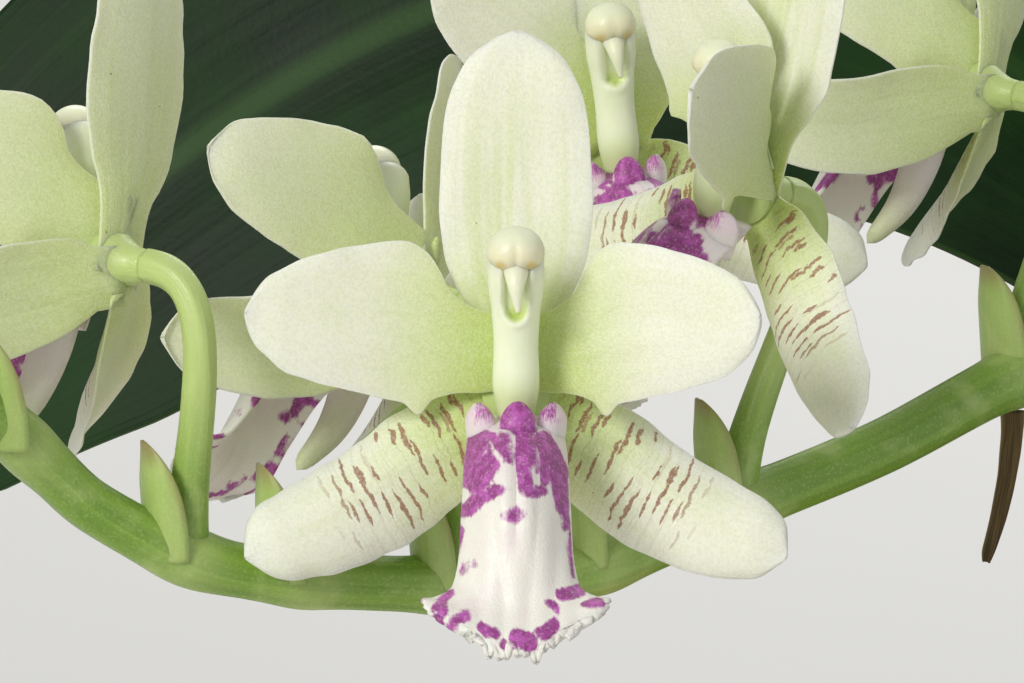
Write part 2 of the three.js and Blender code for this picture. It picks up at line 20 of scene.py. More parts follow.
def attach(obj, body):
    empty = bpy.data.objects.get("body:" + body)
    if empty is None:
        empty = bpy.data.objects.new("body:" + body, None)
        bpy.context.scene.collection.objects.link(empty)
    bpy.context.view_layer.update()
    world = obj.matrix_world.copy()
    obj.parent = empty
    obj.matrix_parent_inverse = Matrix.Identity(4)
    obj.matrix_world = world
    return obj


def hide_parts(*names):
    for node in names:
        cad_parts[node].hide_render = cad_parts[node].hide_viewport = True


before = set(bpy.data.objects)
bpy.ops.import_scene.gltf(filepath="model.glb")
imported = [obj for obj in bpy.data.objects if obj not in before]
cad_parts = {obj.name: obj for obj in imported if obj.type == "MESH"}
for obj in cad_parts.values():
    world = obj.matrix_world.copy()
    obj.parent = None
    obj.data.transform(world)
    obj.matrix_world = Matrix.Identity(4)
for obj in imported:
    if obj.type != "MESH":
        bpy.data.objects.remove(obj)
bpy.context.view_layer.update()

LOG = logging.getLogger("orchid")
MM = 0.001
GOLDEN_ANGLE = 2.39996
Array = np.ndarray
Socket = bpy.types.NodeSocket
Colour = tuple[float, float, float, float]


# Numbers and lines


def srgb(red: int, green: int, blue: int) -> Colour:
    """Turns a colour as a screen shows it into the shader's linear colour.

    Args:
        red: Red from 0 to 255.
        green: Green from 0 to 255.
        blue: Blue from 0 to 255.

    Returns:
        The linear colour with full alpha.
    """
    shown = np.array([red, green, blue]) / 255
    linear = np.where(shown <= 0.04045, shown / 12.92, ((shown + 0.055) / 1.055) ** 2.4)
    return (*(float(c) for c in linear), 1.0)


def smooth_step(value: Array, low: float, high: float) -> Array:
    """Rises from 0 at low to 1 at high along a cubic with level ends.

    Args:
        value: The numbers to map.
        low: Where the rise starts.
        high: Where it ends; below low it falls instead.

    Returns:
        The mapped numbers.
    """
    share = np.clip((value - low) / (high - low), 0, 1)
    return share * share * (3 - 2 * share)


def smooth_rows(rows: Array, place: Array, column: int = 1) -> Array:
    """Reads a table smoothly: cubic pieces whose slope at a row is the harmonic mean of the slopes beside it.

    Args:
        rows: The table, with places in its first column.
        place: Where to read it.
        column: Which column to read.

    Returns:
        The values there, in place's shape.
    """
    x, y = rows[:, 0], rows[:, column]
    step = np.diff(x)
    slope = np.diff(y) / step
    before, after = slope[:-1], slope[1:]
    total = before + after
    inner = np.where(before * after > 0, 2 * before * after / np.where(total == 0, 1, total), 0)
    lean = np.concatenate([slope[:1], inner, slope[-1:]])
    i = np.clip(np.searchsorted(x, place, side="right") - 1, 0, len(x) - 2)
    t = np.clip((place - x[i]) / step[i], 0, 1)
    rise = y[i] * (1 + 2 * t) * (1 - t) ** 2 + y[i + 1] * t * t * (3 - 2 * t)
    return rise + step[i] * (lean[i] * t * (1 - t) ** 2 + lean[i + 1] * t * t * (t - 1))


def even_rows(values: Sequence[float]) -> Array:
    """Puts evenly spaced values in a table with their places from 0 to 1."""
    return np.stack([np.linspace(0, 1, len(values)), np.array(values, float)], axis=1)


def by_share(values: Sequence[float], share: Array) -> Array:
    """Reads evenly spaced values smoothly at shares from 0 to 1."""
    return smooth_rows(even_rows(values), share)


def turns(count: int) -> Array:
    """Gives evenly spaced angles round a circle, from 0."""
    return np.arange(count) * 2 * math.pi / count


def joined(*values: object) -> Array:
    """Stacks coordinates, stretched to one shape, along a new last axis."""
    return np.stack(np.broadcast_arrays(*values), -1)


def ripple(points: Array, size: float, seed: int) -> Array:
    """Gives a smooth random height at each point: the mean of ten sine waves that run in random directions.

    Args:
        points: Places, with their three coordinates last.
        size: Rough length of a wave, in the places' own unit.
        seed: Which random directions.

    Returns:
        Heights from about -1 to 1, in the places' shape.
    """
    random = np.random.default_rng(seed)
    ways = random.normal(size=(3, 10))
    ways *= 2 * math.pi / (size * np.linalg.norm(ways, axis=0)) * random.uniform(0.7, 1.4, 10)
    return np.sin(points @ ways + random.uniform(0, 2 * math.pi, 10)).mean(axis=-1) * 2.2


def unit(vectors: Array) -> Array:
    """Scales vectors, which stand along the last axis, to length 1."""
    return vectors / np.maximum(np.linalg.norm(vectors, axis=-1, keepdims=True), 1e-12)


class Repeatable:
    """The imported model's own stream of random numbers, a linear congruential one."""

    def __init__(self, seed: int) -> None:
        """Starts the stream at a seed."""
        self.state = seed

    def next(self) -> float:
        """Gives the next number from 0 to 1."""
        self.state = (self.state * 1664525 + 1013904223) % 4294967296
        return self.state / 4294967296


@dataclass(frozen=True)
class Line:
    """A smooth line of cubics through points, where each slope is half the chord between the points beside it."""

    points: tuple[tuple[float, float, float], ...]

    def at_steps(self, share: Array) -> Array:
        """Gives the places at shares of the count of points.

        Args:
            share: Shares from 0 to 1.

        Returns:
            The places, one row each.
        """
        p = np.array(self.points, float)
        padded = np.vstack([2 * p[0] - p[1], p, 2 * p[-1] - p[-2]])
        t = np.clip(share, 0, 1) * (len(p) - 1)
        i = np.minimum(t.astype(int), len(p) - 2)
        f = (t - i)[..., None]
        a, b, c, d = (padded[i + k] for k in range(4))
        bend, sway = 2 * a - 5 * b + 4 * c - d, 3 * b - a - 3 * c + d
        return 0.5 * (2 * b + (c - a) * f + bend * f**2 + sway * f**3)

    def along(self, share: Array) -> Array:
        """Gives the places at shares of the line's length.

        Args:
            share: Shares from 0 to 1.

        Returns:
            The places, one row each.
        """
        fine = self.at_steps(np.linspace(0, 1, 200 * (len(self.points) - 1) + 1))
        return by_length(fine, share)


def by_length(fine: Array, share: Array) -> Array:
    """Reads a finely sampled line at shares of its length.

    Args:
        fine: Places along the line.
        share: Shares from 0 to 1.

    Returns:
        The places there, one row each.
    """
    gone = np.concatenate([[0], np.cumsum(np.linalg.norm(np.diff(fine, axis=0), axis=1))])
    return np.stack([np.interp(share * gone[-1], gone, fine[:, k]) for k in range(3)], axis=-1)


def bezier(foot: Array, rise: Array, bend: Array, seat: Array, share: Array) -> Array:
    """Gives places on a cubic Bezier curve at shares of its length.

    Args:
        foot: Its start.
        rise: The handle of its start.
        bend: The handle of its end.
        seat: Its end.
        share: Shares from 0 to 1.

    Returns:
        The places, one row each.
    """
    t = np.linspace(0, 1, 400)[:, None]
    fine = foot * (1 - t) ** 3 + 3 * rise * t * (1 - t) ** 2 + 3 * bend * t * t * (1 - t) + seat * t**3
    return by_length(fine, share)


@dataclass(frozen=True)
class Seat:
    """Where a sub-assembly stands: a rotation and a place."""

    turn: Array = field(default_factory=lambda: np.eye(3))
    at: Array = field(default_factory=lambda: np.zeros(3))

    def put(self, points: Array) -> Array:
        """Takes points from the sub-assembly's frame to the plant's."""
        return points @ self.turn.T + self.at


# Surfaces


class Shell:
    """Collects closed surfaces into one mesh, with a UV map, a painted attribute and a finish for each face."""

    def __init__(self, name: str, finishes: Sequence[bpy.types.Material], seat: Seat | None = None) -> None:
        """Starts an empty shell.

        Args:
            name: The piece's name.
            finishes: Its materials.
            seat: Where its sub-assembly stands.
        """
        self.name = name
        self.finishes = list(finishes)
        self.seat = seat or Seat()
        self.count = 0
        self.places: list[Array] = []
        self.paint: list[Array] = []
        self.corners: list[Array] = []
        self.maps: list[Array] = []
        self.sizes: list[Array] = []
        self.slots: list[Array] = []

    def add(
        self, places: Array, faces: Sequence[tuple[Array, Array]], paint: Array | None, finish: int
    ) -> None:
        """Adds one closed surface and turns its faces outwards, by the sign of the volume that they enclose.

        Args:
            places: Its corners, one row each.
            faces: For each face size, the corner numbers and the UV of those corners.
            paint: Four painted numbers a corner.
            finish: Which of the shell's materials it wears.
        """
        fans = [f[:, [0, k, k + 1]] for f, _ in faces for k in range(1, f.shape[1] - 1)]
        a, b, c = (places[np.concatenate(fans)][:, k] for k in range(3))
        outwards = np.einsum("ij,ij->", a - places.mean(axis=0), np.cross(b - a, c - a)) >= 0
        for numbers, spots in faces:
            turned = (numbers, spots) if outwards else (numbers[:, ::-1], spots[:, ::-1])
            self.corners.append(turned[0].ravel() + self.count)
            self.maps.append(turned[1].reshape(-1, 2))
            self.sizes.append(np.full(len(numbers), numbers.shape[1]))
            self.slots.append(np.full(len(numbers), finish))
        self.places.append(self.seat.put(places))
        self.paint.append(np.zeros((len(places), 4)) if paint is None else paint)
        self.count += len(places)

    def blade(
        self, grid: Array, thickness: Array, paint: Array | None = None, finish: int = 0, front: int = 1
    ) -> None:
        """Adds a sheet: its grid moved half the thickness to each side along its normals, closed round the rim.

        Args:
            grid: Rows from foot to tip, columns across, three coordinates.
            thickness: The sheet's thickness at each grid point.
            paint: Three painted numbers a grid point; the fourth is 1 on the front sheet and 0 on the back.
            finish: Which of the shell's materials it wears.
            front: 1, or -1 for a mirrored grid, whose normals point to its back.
        """
        rows, columns = grid.shape[:2]
        facing = unit(np.cross(np.gradient(grid, axis=0), np.gradient(grid, axis=1)))
        half = facing * (thickness / 2)[..., None]
        places = np.concatenate([(grid + half).reshape(-1, 3), (grid - half).reshape(-1, 3)])
        number = np.arange(rows * columns).reshape(rows, columns)
        spots = np.stack(np.meshgrid(np.linspace(0, 1, rows), np.linspace(0, 1, columns), indexing="ij"), -1)
        spots = np.concatenate([spots.reshape(-1, 2)] * 2)
        quad = np.stack([number[:-1, :-1], number[1:, :-1], number[1:, 1:], number[:-1, 1:]], -1).reshape(-1, 4)
        back = rows * columns
        loop = np.concatenate([number[0, :-1], number[:-1, -1], number[-1, :0:-1], number[:0:-1, 0]])
        ahead = np.roll(loop, -1)
        rim = np.stack([loop, ahead, ahead + back, loop + back], -1)
        faces = np.concatenate([quad, quad[:, ::-1] + back, rim])
        tint = np.zeros((2 * back, 4))
        if paint is not None:
            tint[:, : paint.shape[-1]] = np.concatenate([paint.reshape(back, -1)] * 2)
        tint[:back, 3] = (1 + front) / 2
        tint[back:, 3] = (1 - front) / 2
        self.add(places, [(faces, spots[faces])], tint, finish)

    def tube(
        self, rings: Array, paint: Array | None = None, finish: int = 0, poles: Array | None = None
    ) -> None:
        """Adds a closed tube from rings of points, with a fan over each end.

        Args:
            rings: Rings from foot to tip, points round each, three coordinates.
            paint: Painted numbers a ring point, up to four.
            finish: Which of the shell's materials it wears.
            poles: The two points that close its ends; else the middles of the end rings.
        """
        rows, sides = rings.shape[:2]
        poles = rings[[0, -1]].mean(axis=1) if poles is None else poles
        places = np.concatenate([rings.reshape(-1, 3), poles])
        number = np.arange(rows * sides).reshape(rows, sides)
        ahead = np.roll(number, -1, axis=1)
        quad = np.stack([number[:-1], ahead[:-1], ahead[1:], number[1:]], -1).reshape(-1, 4)
        run = np.linspace(0, 1, rows)
        turn = np.linspace(0, 1, sides + 1)
        low, high = (np.meshgrid(run[k], turn[k], indexing="ij") for k in (slice(0, -1), slice(1, None)))
        spots = np.stack([low[0], low[1], low[0], high[1], high[0], high[1], high[0], low[1]], -1).reshape(-1, 4, 2)
        first, last = np.full(sides, rows * sides), np.full(sides, rows * sides + 1)
        fans = np.vstack([joined(first, ahead[0], number[0]), joined(last, number[-1], ahead[-1])])
        ends = np.zeros((2 * sides, 3, 2))
        ends[:, :, 1] = np.tile(turn[:-1], 2)[:, None]
        ends[sides:, :, 0] = 1
        tint = np.zeros((len(places), 4))
        if paint is not None:
            tint[:-2, : paint.shape[-1]] = paint.reshape(rows * sides, -1)
            tint[-2:, : paint.shape[-1]] = paint[[0, -1], 0]
        self.add(places, [(quad, spots), (fans, ends)], tint, finish)

    def piece(self, slot: str, *nodes: str) -> bpy.types.Object:
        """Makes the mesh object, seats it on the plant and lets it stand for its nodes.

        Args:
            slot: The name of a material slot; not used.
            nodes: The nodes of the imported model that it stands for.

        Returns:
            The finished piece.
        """
        mesh = bpy.data.meshes.new(self.name)
        places, corners, sizes = (np.concatenate(parts) for parts in (self.places, self.corners, self.sizes))
        mesh.vertices.add(len(places))
        mesh.vertices.foreach_set("co", (places * MM).astype(np.float32).ravel())
        mesh.loops.add(len(corners))
        mesh.loops.foreach_set("vertex_index", corners.astype(np.int32))
        mesh.polygons.add(len(sizes))
        mesh.polygons.foreach_set("loop_start", (np.cumsum(sizes) - sizes).astype(np.int32))
        mesh.polygons.foreach_set("material_index", np.concatenate(self.slots).astype(np.int32))
        mesh.polygons.foreach_set("use_smooth", np.ones(len(sizes), bool))
        mesh.uv_layers.new(name="Surface").data.foreach_set(
            "uv", np.concatenate(self.maps).astype(np.float32).ravel()
        )
        attribute = mesh.attributes.new("Paint", "FLOAT_COLOR", "POINT")
        attribute.data.foreach_set("color", np.concatenate(self.paint).astype(np.float32).ravel())
        mesh.update(calc_edges=True)
        mesh.validate()
        for material in self.finishes:
            mesh.materials.append(material)
        made = bpy.data.objects.new(self.name, mesh)
        bpy.context.scene.collection.objects.link(made)
        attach(made, "root")
        if nodes:
            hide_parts(*nodes)
        LOG.info("%s: %d faces", self.name, len(sizes))
        return made


def ring_tube(centres: Array, radii: Array, sides: int) -> Array:
    """Gives the rings of a tube: centre + radius * (cos(turn) * sideways + sin(turn) * upwards) at each turn.

    Sideways lies along the normal of the plane that fits the line best, taken square to the line's direction.

    Args:
        centres: Places along the line.
        radii: A radius for each place, or for each place and side.
        sides: Points in a ring.

    Returns:
        The rings, as places by sides by three.
    """
    ahead = unit(np.gradient(centres, axis=0))
    flat = np.linalg.svd(centres - centres.mean(axis=0))[2][2]
    sideways = unit(flat - ahead * (ahead @ flat)[:, None])
    upwards = np.cross(ahead, sideways)
    turn = turns(sides)
    wide = np.broadcast_to(np.asarray(radii).reshape(len(centres), -1), (len(centres), sides))[..., None]
    ring = np.cos(turn)[None, :, None] * sideways[:, None] + np.sin(turn)[None, :, None] * upwards[:, None]
    return centres[:, None] + ring * wide


def revolved(radius: Array, height: Array, sides: int) -> Array:
    """Gives the rings of a form turned about +Z, from the radius and the height of each."""
    turn = turns(sides)
    return joined(radius[:, None] * np.cos(turn), radius[:, None] * np.sin(turn), height[:, None])


def ball(rings: int, sides: int) -> Array:
    """Gives the rings of a ball of radius 1 about the origin, from its lowest ring to its highest."""
    polar = math.pi * (np.arange(rings) + 0.6) / (rings + 0.2)
    return revolved(np.sin(polar), -np.cos(polar), sides)


def rounded(share: Array, start: float) -> Array:
    """Shrinks to nothing along a quarter circle between start and 1.

    Args:
        share: Shares from 0 to 1.
        start: Where the shrinking starts.

    Returns:
        Factors from 1 down to nearly 0.
    """
    return np.sqrt(np.clip(1 - np.clip((share - start) / (1 - start), 0, 1) ** 2, 0.0004, 1))


# Finishes


class Look:
    """One material's nodes, with short calls for the few kinds that the finishes here are made of."""

    def __init__(self, name: str, sockets: dict[str, object]) -> None:
        """Starts a material with one shader.

        Args:
            name: The material's name.
            sockets: Values set on the shader's own sockets.
        """
        self.material = bpy.data.materials.new(name)
        self.material.use_nodes = True
        self.tree = self.material.node_tree
        self.tree.nodes.clear()
        self.shader = self.tree.nodes.new("ShaderNodeBsdfPrincipled")
        output = self.tree.nodes.new("ShaderNodeOutputMaterial")
        self.tree.links.new(self.shader.outputs[0], output.inputs[0])
        for socket, value in sockets.items():
            self.shader.inputs[socket].default_value = value
        self.object = self.add("TexCoord", {}).outputs["Object"]
        self.surface = self.add("UVMap", {}, uv_map="Surface").outputs[0]
        painted = self.add("Attribute", {}, attribute_name="Paint")
        parts = self.add("SeparateColor", {0: painted.outputs["Color"]})
        self.paint = (*parts.outputs[:3], painted.outputs["Alpha"])

    def add(self, kind: str, inputs: dict[str | int, object], **settings: object) -> bpy.types.Node:
        """Adds a node.

        Args:
            kind: Its type without the leading ShaderNode.
            inputs: A socket to link or a value to set, for each input.
            settings: The node's own settings.

        Returns:
            The node.
        """
        node = self.tree.nodes.new("ShaderNode" + kind)
        for key, value in settings.items():
            setattr(node, key, value)
        for key, value in inputs.items():
            if isinstance(value, Socket):
                self.tree.links.new(value, node.inputs[key])
            else:
                node.inputs[key].default_value = value
        return node

    def calc(self, operation: str, *values: object, clamp: bool = False) -> Socket:
        """Works out one operation of the Math node on its values."""
        return self.add("Math", dict(enumerate(values)), operation=operation, use_clamp=clamp).outputs[0]

    def stretched(self, source: Socket, scale: tuple[float, float, float]) -> Socket:
        """Stretches coordinates by a Mapping node."""
        return self.add("Mapping", {"Vector": source, "Scale": scale}).outputs[0]

    def noise(self, source: Socket, scale: float, detail: float = 2.0, rough: float = 0.5) -> Socket:
        """Reads a noise texture.

        Args:
            source: Coordinates.
            scale: Waves in one unit of them.
            detail: How many finer layers it has.
            rough: How strong the finer layers are.

        Returns:
            Its height, about 0.5 on average.
        """
        inputs = {"Vector": source, "Scale": scale, "Detail": detail, "Roughness": rough}
        return self.add("TexNoise", inputs).outputs[0]

    def grain(self, size: float, detail: float = 2.0, rough: float = 0.5) -> Socket:
        """Reads noise in the plant's own frame, with waves of a size in millimetres."""
        return self.noise(self.object, 1 / (size * MM), detail, rough)

    def cells(self, source: Socket, scale: float) -> Socket:
        """Reads the distance to the nearest of many scattered points."""
        return self.add("TexVoronoi", {"Vector": source, "Scale": scale}).outputs["Distance"]

    def remap(self, value: Socket, low: float, high: float, start: float = 0.0, end: float = 1.0) -> Socket:
        """Maps a value from low to high smoothly onto start to end."""
        inputs = {0: value, 1: low, 2: high, 3: start, 4: end}
        return self.add("MapRange", inputs, interpolation_type="SMOOTHSTEP", clamp=True).outputs[0]

    def mix(self, share: object, under: object, over: object, mode: str = "MIX") -> Socket:
        """Mixes two colours.

        Args:
            share: How much of the second shows.
            under: The first colour.
            over: The second colour.
            mode: How they mix.

        Returns:
            The mixed colour.
        """
        node = self.add("Mix", {0: share, 6: under, 7: over}, data_type="RGBA", blend_type=mode)
        return node.outputs[2]

    def over(self, colour: object, tone: object, share: Socket, strength: object) -> Socket:
        """Lays a tone over a colour where share is 1, as strongly as strength says."""
        return self.mix(self.calc("MULTIPLY", share, strength), colour, tone)

    def across(self) -> Socket:
        """Gives 0 on the middle line of a blade and 1 at its edges."""
        _, side = self.split(self.surface)
        return self.calc("ABSOLUTE", self.calc("MULTIPLY_ADD", side, 2.0, -1.0))

    def split(self, source: Socket) -> tuple[Socket, Socket]:
        """Gives the first two coordinates of a vector."""
        parts = self.add("SeparateXYZ", {0: source})
        return parts.outputs[0], parts.outputs[1]

    def bump(self, height: Socket, depth: float, under: Socket | None = None) -> Socket:
        """Turns heights into a normal.

        Args:
            height: Heights from 0 to 1.
            depth: What a height of 1 stands for, in millimetres.
            under: A normal to build on.

        Returns:
            The new normal.
        """
        inputs: dict[str | int, object] = {"Height": height, "Distance": depth * MM, "Strength": 1.0}
        if under is not None:
            inputs["Normal"] = under
        return self.add("Bump", inputs).outputs[0]

    def done(
        self, colour: Socket, rough: Socket | None = None, normal: Socket | None = None
    ) -> bpy.types.Material:
        """Links what varies over the surface to the shader.

        Args:
            colour: The base colour.
            rough: The roughness.
            normal: The normal.

        Returns:
            The finished material.
        """
        for socket, value in (("Base Color", colour), ("Roughness", rough), ("Normal", normal)):
            if value is not None:
                self.tree.links.new(value, self.shader.inputs[socket])
        return self.material


def flesh(
    weight: float, spread: tuple[float, float, float], depth: float, coat: tuple[float, float] = (0.0, 0.03)
) -> dict[str, object]:
    """Gives a shader's values for living tissue, which light enters.

    Args:
        weight: How much of the light scatters inside.
        spread: How far each colour of it goes, as shares of depth.
        depth: The furthest that it goes, in millimetres.
        coat: The strength and the roughness of the wax on it.

    Returns:
        The values by socket.
    """
    return {
        "Subsurface Weight": weight, "Subsurface Radius": spread, "Subsurface Scale": depth * MM,
        "Specular IOR Level": 0.5, "Coat Weight": coat[0], "Coat Roughness": coat[1],
    }


class TepalKind(Enum):
    """The three kinds of tepal."""

    DORSAL = "dorsal"
    LATERAL = "lateral"
    PETAL = "petal"


@dataclass(frozen=True)
class BarRow:
    """A series of bars across a sepal: how many in its length, where they lie across it, and how long they are."""

    count: float
    middle: float
    stray: float
    half: float
    seed: float


@dataclass(frozen=True)
class TepalFinish:
    """Waxy cream tissue with a fine crystalline grain, green at its foot, barred with brown on the laterals."""

    kind: TepalKind
    body: Colour = srgb(240, 241, 222)
    stripe: Colour = srgb(208, 221, 150)
    foot: Colour = srgb(186, 208, 84)
    back: Colour = srgb(208, 219, 158)
    pale: Colour = srgb(252, 252, 246)
    bar: Colour = srgb(148, 90, 50)
    grain: float = 0.1
    veins: dict[str, float] = field(default_factory=lambda: {"dorsal": 0.6, "lateral": 0.3, "petal": 0.15})
    foot_end: dict[str, float] = field(default_factory=lambda: {"dorsal": 0.3, "lateral": 0.4, "petal": 0.46})
    rows: tuple[BarRow, ...] = (
        BarRow(26.0, 0.28, 0.3, 0.4, 3.0),
        BarRow(31.0, -0.12, 0.35, 0.28, 17.0),
        BarRow(24.0, 0.5, 0.3, 0.18, 29.0),
    )

    def material(self) -> bpy.types.Material:
        """Builds the material."""
        look = Look(f"tepal_{self.kind.value}", {**flesh(0.35, (1.0, 0.95, 0.5), 1.0), "IOR": 1.42})
        run, side = look.split(look.surface)
        across = look.across()
        streak = look.noise(look.stretched(look.surface, (0.9, 11.0, 1.0)), 1.0, 2.0, 0.5)
        middle = look.remap(across, 0.85, 0.2)
        reach = look.remap(run, 0.9, 0.35)
        veined = look.calc("MULTIPLY", look.remap(streak, 0.4, 0.64), look.calc("MULTIPLY", middle, reach))
        colour = look.over(self.body, self.stripe, veined, self.veins[self.kind.value])
        cloud = look.grain(3.2, 3.0)
        colour = look.over(colour, self.stripe, look.remap(cloud, 0.5, 0.78), 0.22)
        warm = look.remap(
            look.calc("MULTIPLY_ADD", cloud, 0.14, run), self.foot_end[self.kind.value] + 0.1, 0.12
        )
        colour = look.over(colour, self.foot, warm, 0.84)
        behind = look.calc("MULTIPLY_ADD", look.paint[3], -0.7, 0.7)
        colour = look.over(colour, self.back, behind, look.remap(run, 0.25, 0.9, 1.0, 0.4))
        edge = look.calc("MAXIMUM", look.remap(across, 0.84, 1.0), look.remap(run, 0.86, 1.0))
        colour = look.over(colour, self.pale, edge, 0.2)
        if self.kind is TepalKind.LATERAL:
            bars = self.barred(look, run, side, self.rows[0])
            for row in self.rows[1:]:
                bars = look.calc("MAXIMUM", bars, self.barred(look, run, side, row))
            colour = look.over(colour, self.bar, bars, look.paint[3])
        fine = look.grain(self.grain, 2.0, 0.6)
        colour = look.over(colour, self.pale, look.remap(fine, 0.42, 0.7), 0.26)
        shade = look.remap(look.grain(self.grain * 1.7, 1.0), 0.62, 0.3)
        colour = look.mix(look.calc("MULTIPLY", shade, 0.14), colour, srgb(186, 194, 150), "MULTIPLY")
        speck = look.remap(look.cells(look.object, 1 / (2.4 * MM)), 0.035, 0.02)
        colour = look.over(colour, srgb(112, 104, 62), speck, 0.6)
        rough = look.remap(fine, 0.3, 0.7, 0.6, 0.34)
        normal = look.bump(fine, 0.04)
        normal = look.bump(look.remap(streak, 0.3, 0.7), 0.02, normal)
        return look.done(colour, rough, normal)

    def barred(self, look: Look, run: Socket, side: Socket, row: BarRow) -> Socket:
        """Draws one series of bars.

        Each bar lies where a saw of the length is half way up, and has a place and a length across the blade of
        its own; its thickness falls to nothing at its ends, and noise bends and breaks it.

        Args:
            look: The material's nodes.
            run: Share of the blade's length.
            side: Share of the way across it, from its lower edge to its upper one.
            row: The series.

        Returns:
            How much bar colour shows.
        """
        wander = look.noise(look.stretched(look.surface, (7.0, 5.0, 1.0)), 1.0, 2.0, 0.6)
        saw = look.calc(
            "ADD", look.calc("MULTIPLY", run, row.count), look.calc("MULTIPLY_ADD", wander, 1.1, row.seed)
        )
        drawn = look.add("TexWhiteNoise", {"W": look.calc("FLOOR", saw)}, noise_dimensions="1D")
        own = look.add("SeparateColor", {0: drawn.outputs["Color"]})
        place = look.calc("MULTIPLY_ADD", own.outputs[0], 2 * row.stray, row.middle - row.stray)
        reach = look.calc("MULTIPLY_ADD", own.outputs[1], row.half, 0.4 * row.half)
        half = look.calc("MULTIPLY", reach, look.remap(run, 0.25, 0.58, 1.0, 0.55))
        offset = look.calc("SUBTRACT", look.calc("MULTIPLY_ADD", side, 2.0, -1.0), place)
        gone = look.calc("DIVIDE", offset, half)
        swell = look.calc("SQRT", look.calc("SUBTRACT", 1.0, look.calc("MULTIPLY", gone, gone), clamp=True))
        rough = look.grain(0.3, 2.0, 0.6)
        thick = look.calc("MULTIPLY", swell, look.calc("MULTIPLY_ADD", rough, 0.42, -0.06))
        phase = look.calc("ABSOLUTE", look.calc("SUBTRACT", look.calc("FRACT", saw), 0.5))
        line = look.remap(look.calc("SUBTRACT", thick, phase), -0.035, 0.05)
        kept = look.remap(own.outputs[2], 0.1, 0.16)
        zone = look.calc("MULTIPLY", look.remap(run, 0.07, 0.11), look.remap(run, 0.58, 0.46))
        return look.calc("MULTIPLY", look.calc("MULTIPLY", line, kept), look.calc("MULTIPLY", zone, 0.85))


@dataclass(frozen=True)
class ColumnFinish:
    """Smooth white-green column; paint gives the cap's cream, its yellow pollen spots and the green stigma."""

    body: Colour = srgb(240, 245, 218)
    foot: Colour = srgb(205, 222, 150)
    cap: Colour = srgb(236, 230, 196)
    pollen: Colour = srgb(230, 198, 104)
    stigma: Colour = srgb(192, 212, 106)

    def material(self) -> bpy.types.Material:
        """Builds the material."""
        look = Look("column", flesh(0.4, (1.0, 1.0, 0.55), 0.9, (0.12, 0.3)))
        cap, pollen, stigma, foot = look.paint
        colour = look.over(self.body, self.foot, look.grain(1.1), 0.2)
        colour = look.mix(foot, colour, self.foot)
        colour = look.mix(cap, colour, self.cap)
        colour = look.mix(stigma, colour, self.stigma)
        colour = look.over(colour, self.pollen, pollen, 0.75)
        fine = look.grain(0.12, 2.0)
        return look.done(colour, look.remap(fine, 0.3, 0.7, 0.5, 0.32), look.bump(fine, 0.018))


@dataclass(frozen=True)
class LipFinish:
    """White, faintly flushed tissue with painted purple marks whose edges fray, and a pale spur."""

    white: Colour = srgb(240, 237, 228)
    flush: Colour = srgb(232, 200, 224)
    purple: Colour = srgb(148, 24, 132)
    bright: Colour = srgb(186, 72, 176)
    green: Colour = srgb(196, 212, 140)

    def material(self) -> bpy.types.Material:
        """Builds the material."""
        look = Look("lip", flesh(0.3, (1.0, 0.7, 0.8), 0.7, (0.1, 0.35)))
        mark, faint, green, _ = look.paint
        colour = look.over(self.white, self.flush, look.remap(look.grain(1.6, 3.0), 0.48, 0.72), 0.2)
        colour = look.over(colour, self.flush, faint, 0.75)
        colour = look.mix(green, colour, self.green)
        fibres = look.noise(look.stretched(look.surface, (5.0, 26.0, 1.0)), 1.0, 3.0, 0.6)
        fray = look.calc(
            "ADD", look.calc("MULTIPLY", look.grain(0.3, 3.0, 0.65), 0.8), look.calc("MULTIPLY", fibres, 0.9)
        )
        frayed = look.calc("ADD", mark, look.calc("SUBTRACT", fray, 0.85))
        edge = look.remap(frayed, 0.24, 0.78)
        pigment = look.mix(look.remap(look.grain(0.5, 2.0), 0.4, 0.66), self.purple, self.bright)
        colour = look.over(colour, pigment, edge, 0.95)
        fine = look.grain(0.14, 2.0, 0.6)
        colour = look.over(colour, self.white, look.remap(fine, 0.52, 0.75), 0.3)
        return look.done(colour, look.remap(fine, 0.3, 0.7, 0.55, 0.3), look.bump(fine, 0.045))


@dataclass(frozen=True)
class StemFinish:
    """Smooth green stalk tissue with fine lengthwise streaks; paint dries a bract's tip and greens a bud."""

    name: str = "stalk"
    body: Colour = srgb(132, 170, 60)
    deep: Colour = srgb(114, 152, 48)
    light: Colour = srgb(196, 213, 136)
    dry: Colour = srgb(150, 126, 84)
    streaks: float = 14.0

    def material(self) -> bpy.types.Material:
        """Builds the material."""
        look = Look(self.name, flesh(0.15, (0.6, 0.9, 0.3), 0.8, (0.15, 0.3)))
        pale, dried, _, _ = look.paint
        streak = look.noise(look.stretched(look.surface, (3.0, self.streaks, 1.0)), 1.0, 3.0, 0.6)
        colour = look.mix(look.remap(streak, 0.35, 0.65), self.deep, self.body)
        colour = look.over(colour, self.light, look.remap(look.grain(2.4, 3.0), 0.48, 0.75), 0.5)
        colour = look.mix(pale, colour, self.light)
        fine = look.grain(0.16, 2.0)
        colour = look.over(colour, self.light, look.remap(fine, 0.5, 0.75), 0.3)
        colour = look.mix(dried, colour, self.dry)
        normal = look.bump(look.remap(streak, 0.3, 0.7), 0.02)
        normal = look.bump(fine, 0.02, normal)
        return look.done(colour, look.remap(fine, 0.3, 0.7, 0.52, 0.34), normal)


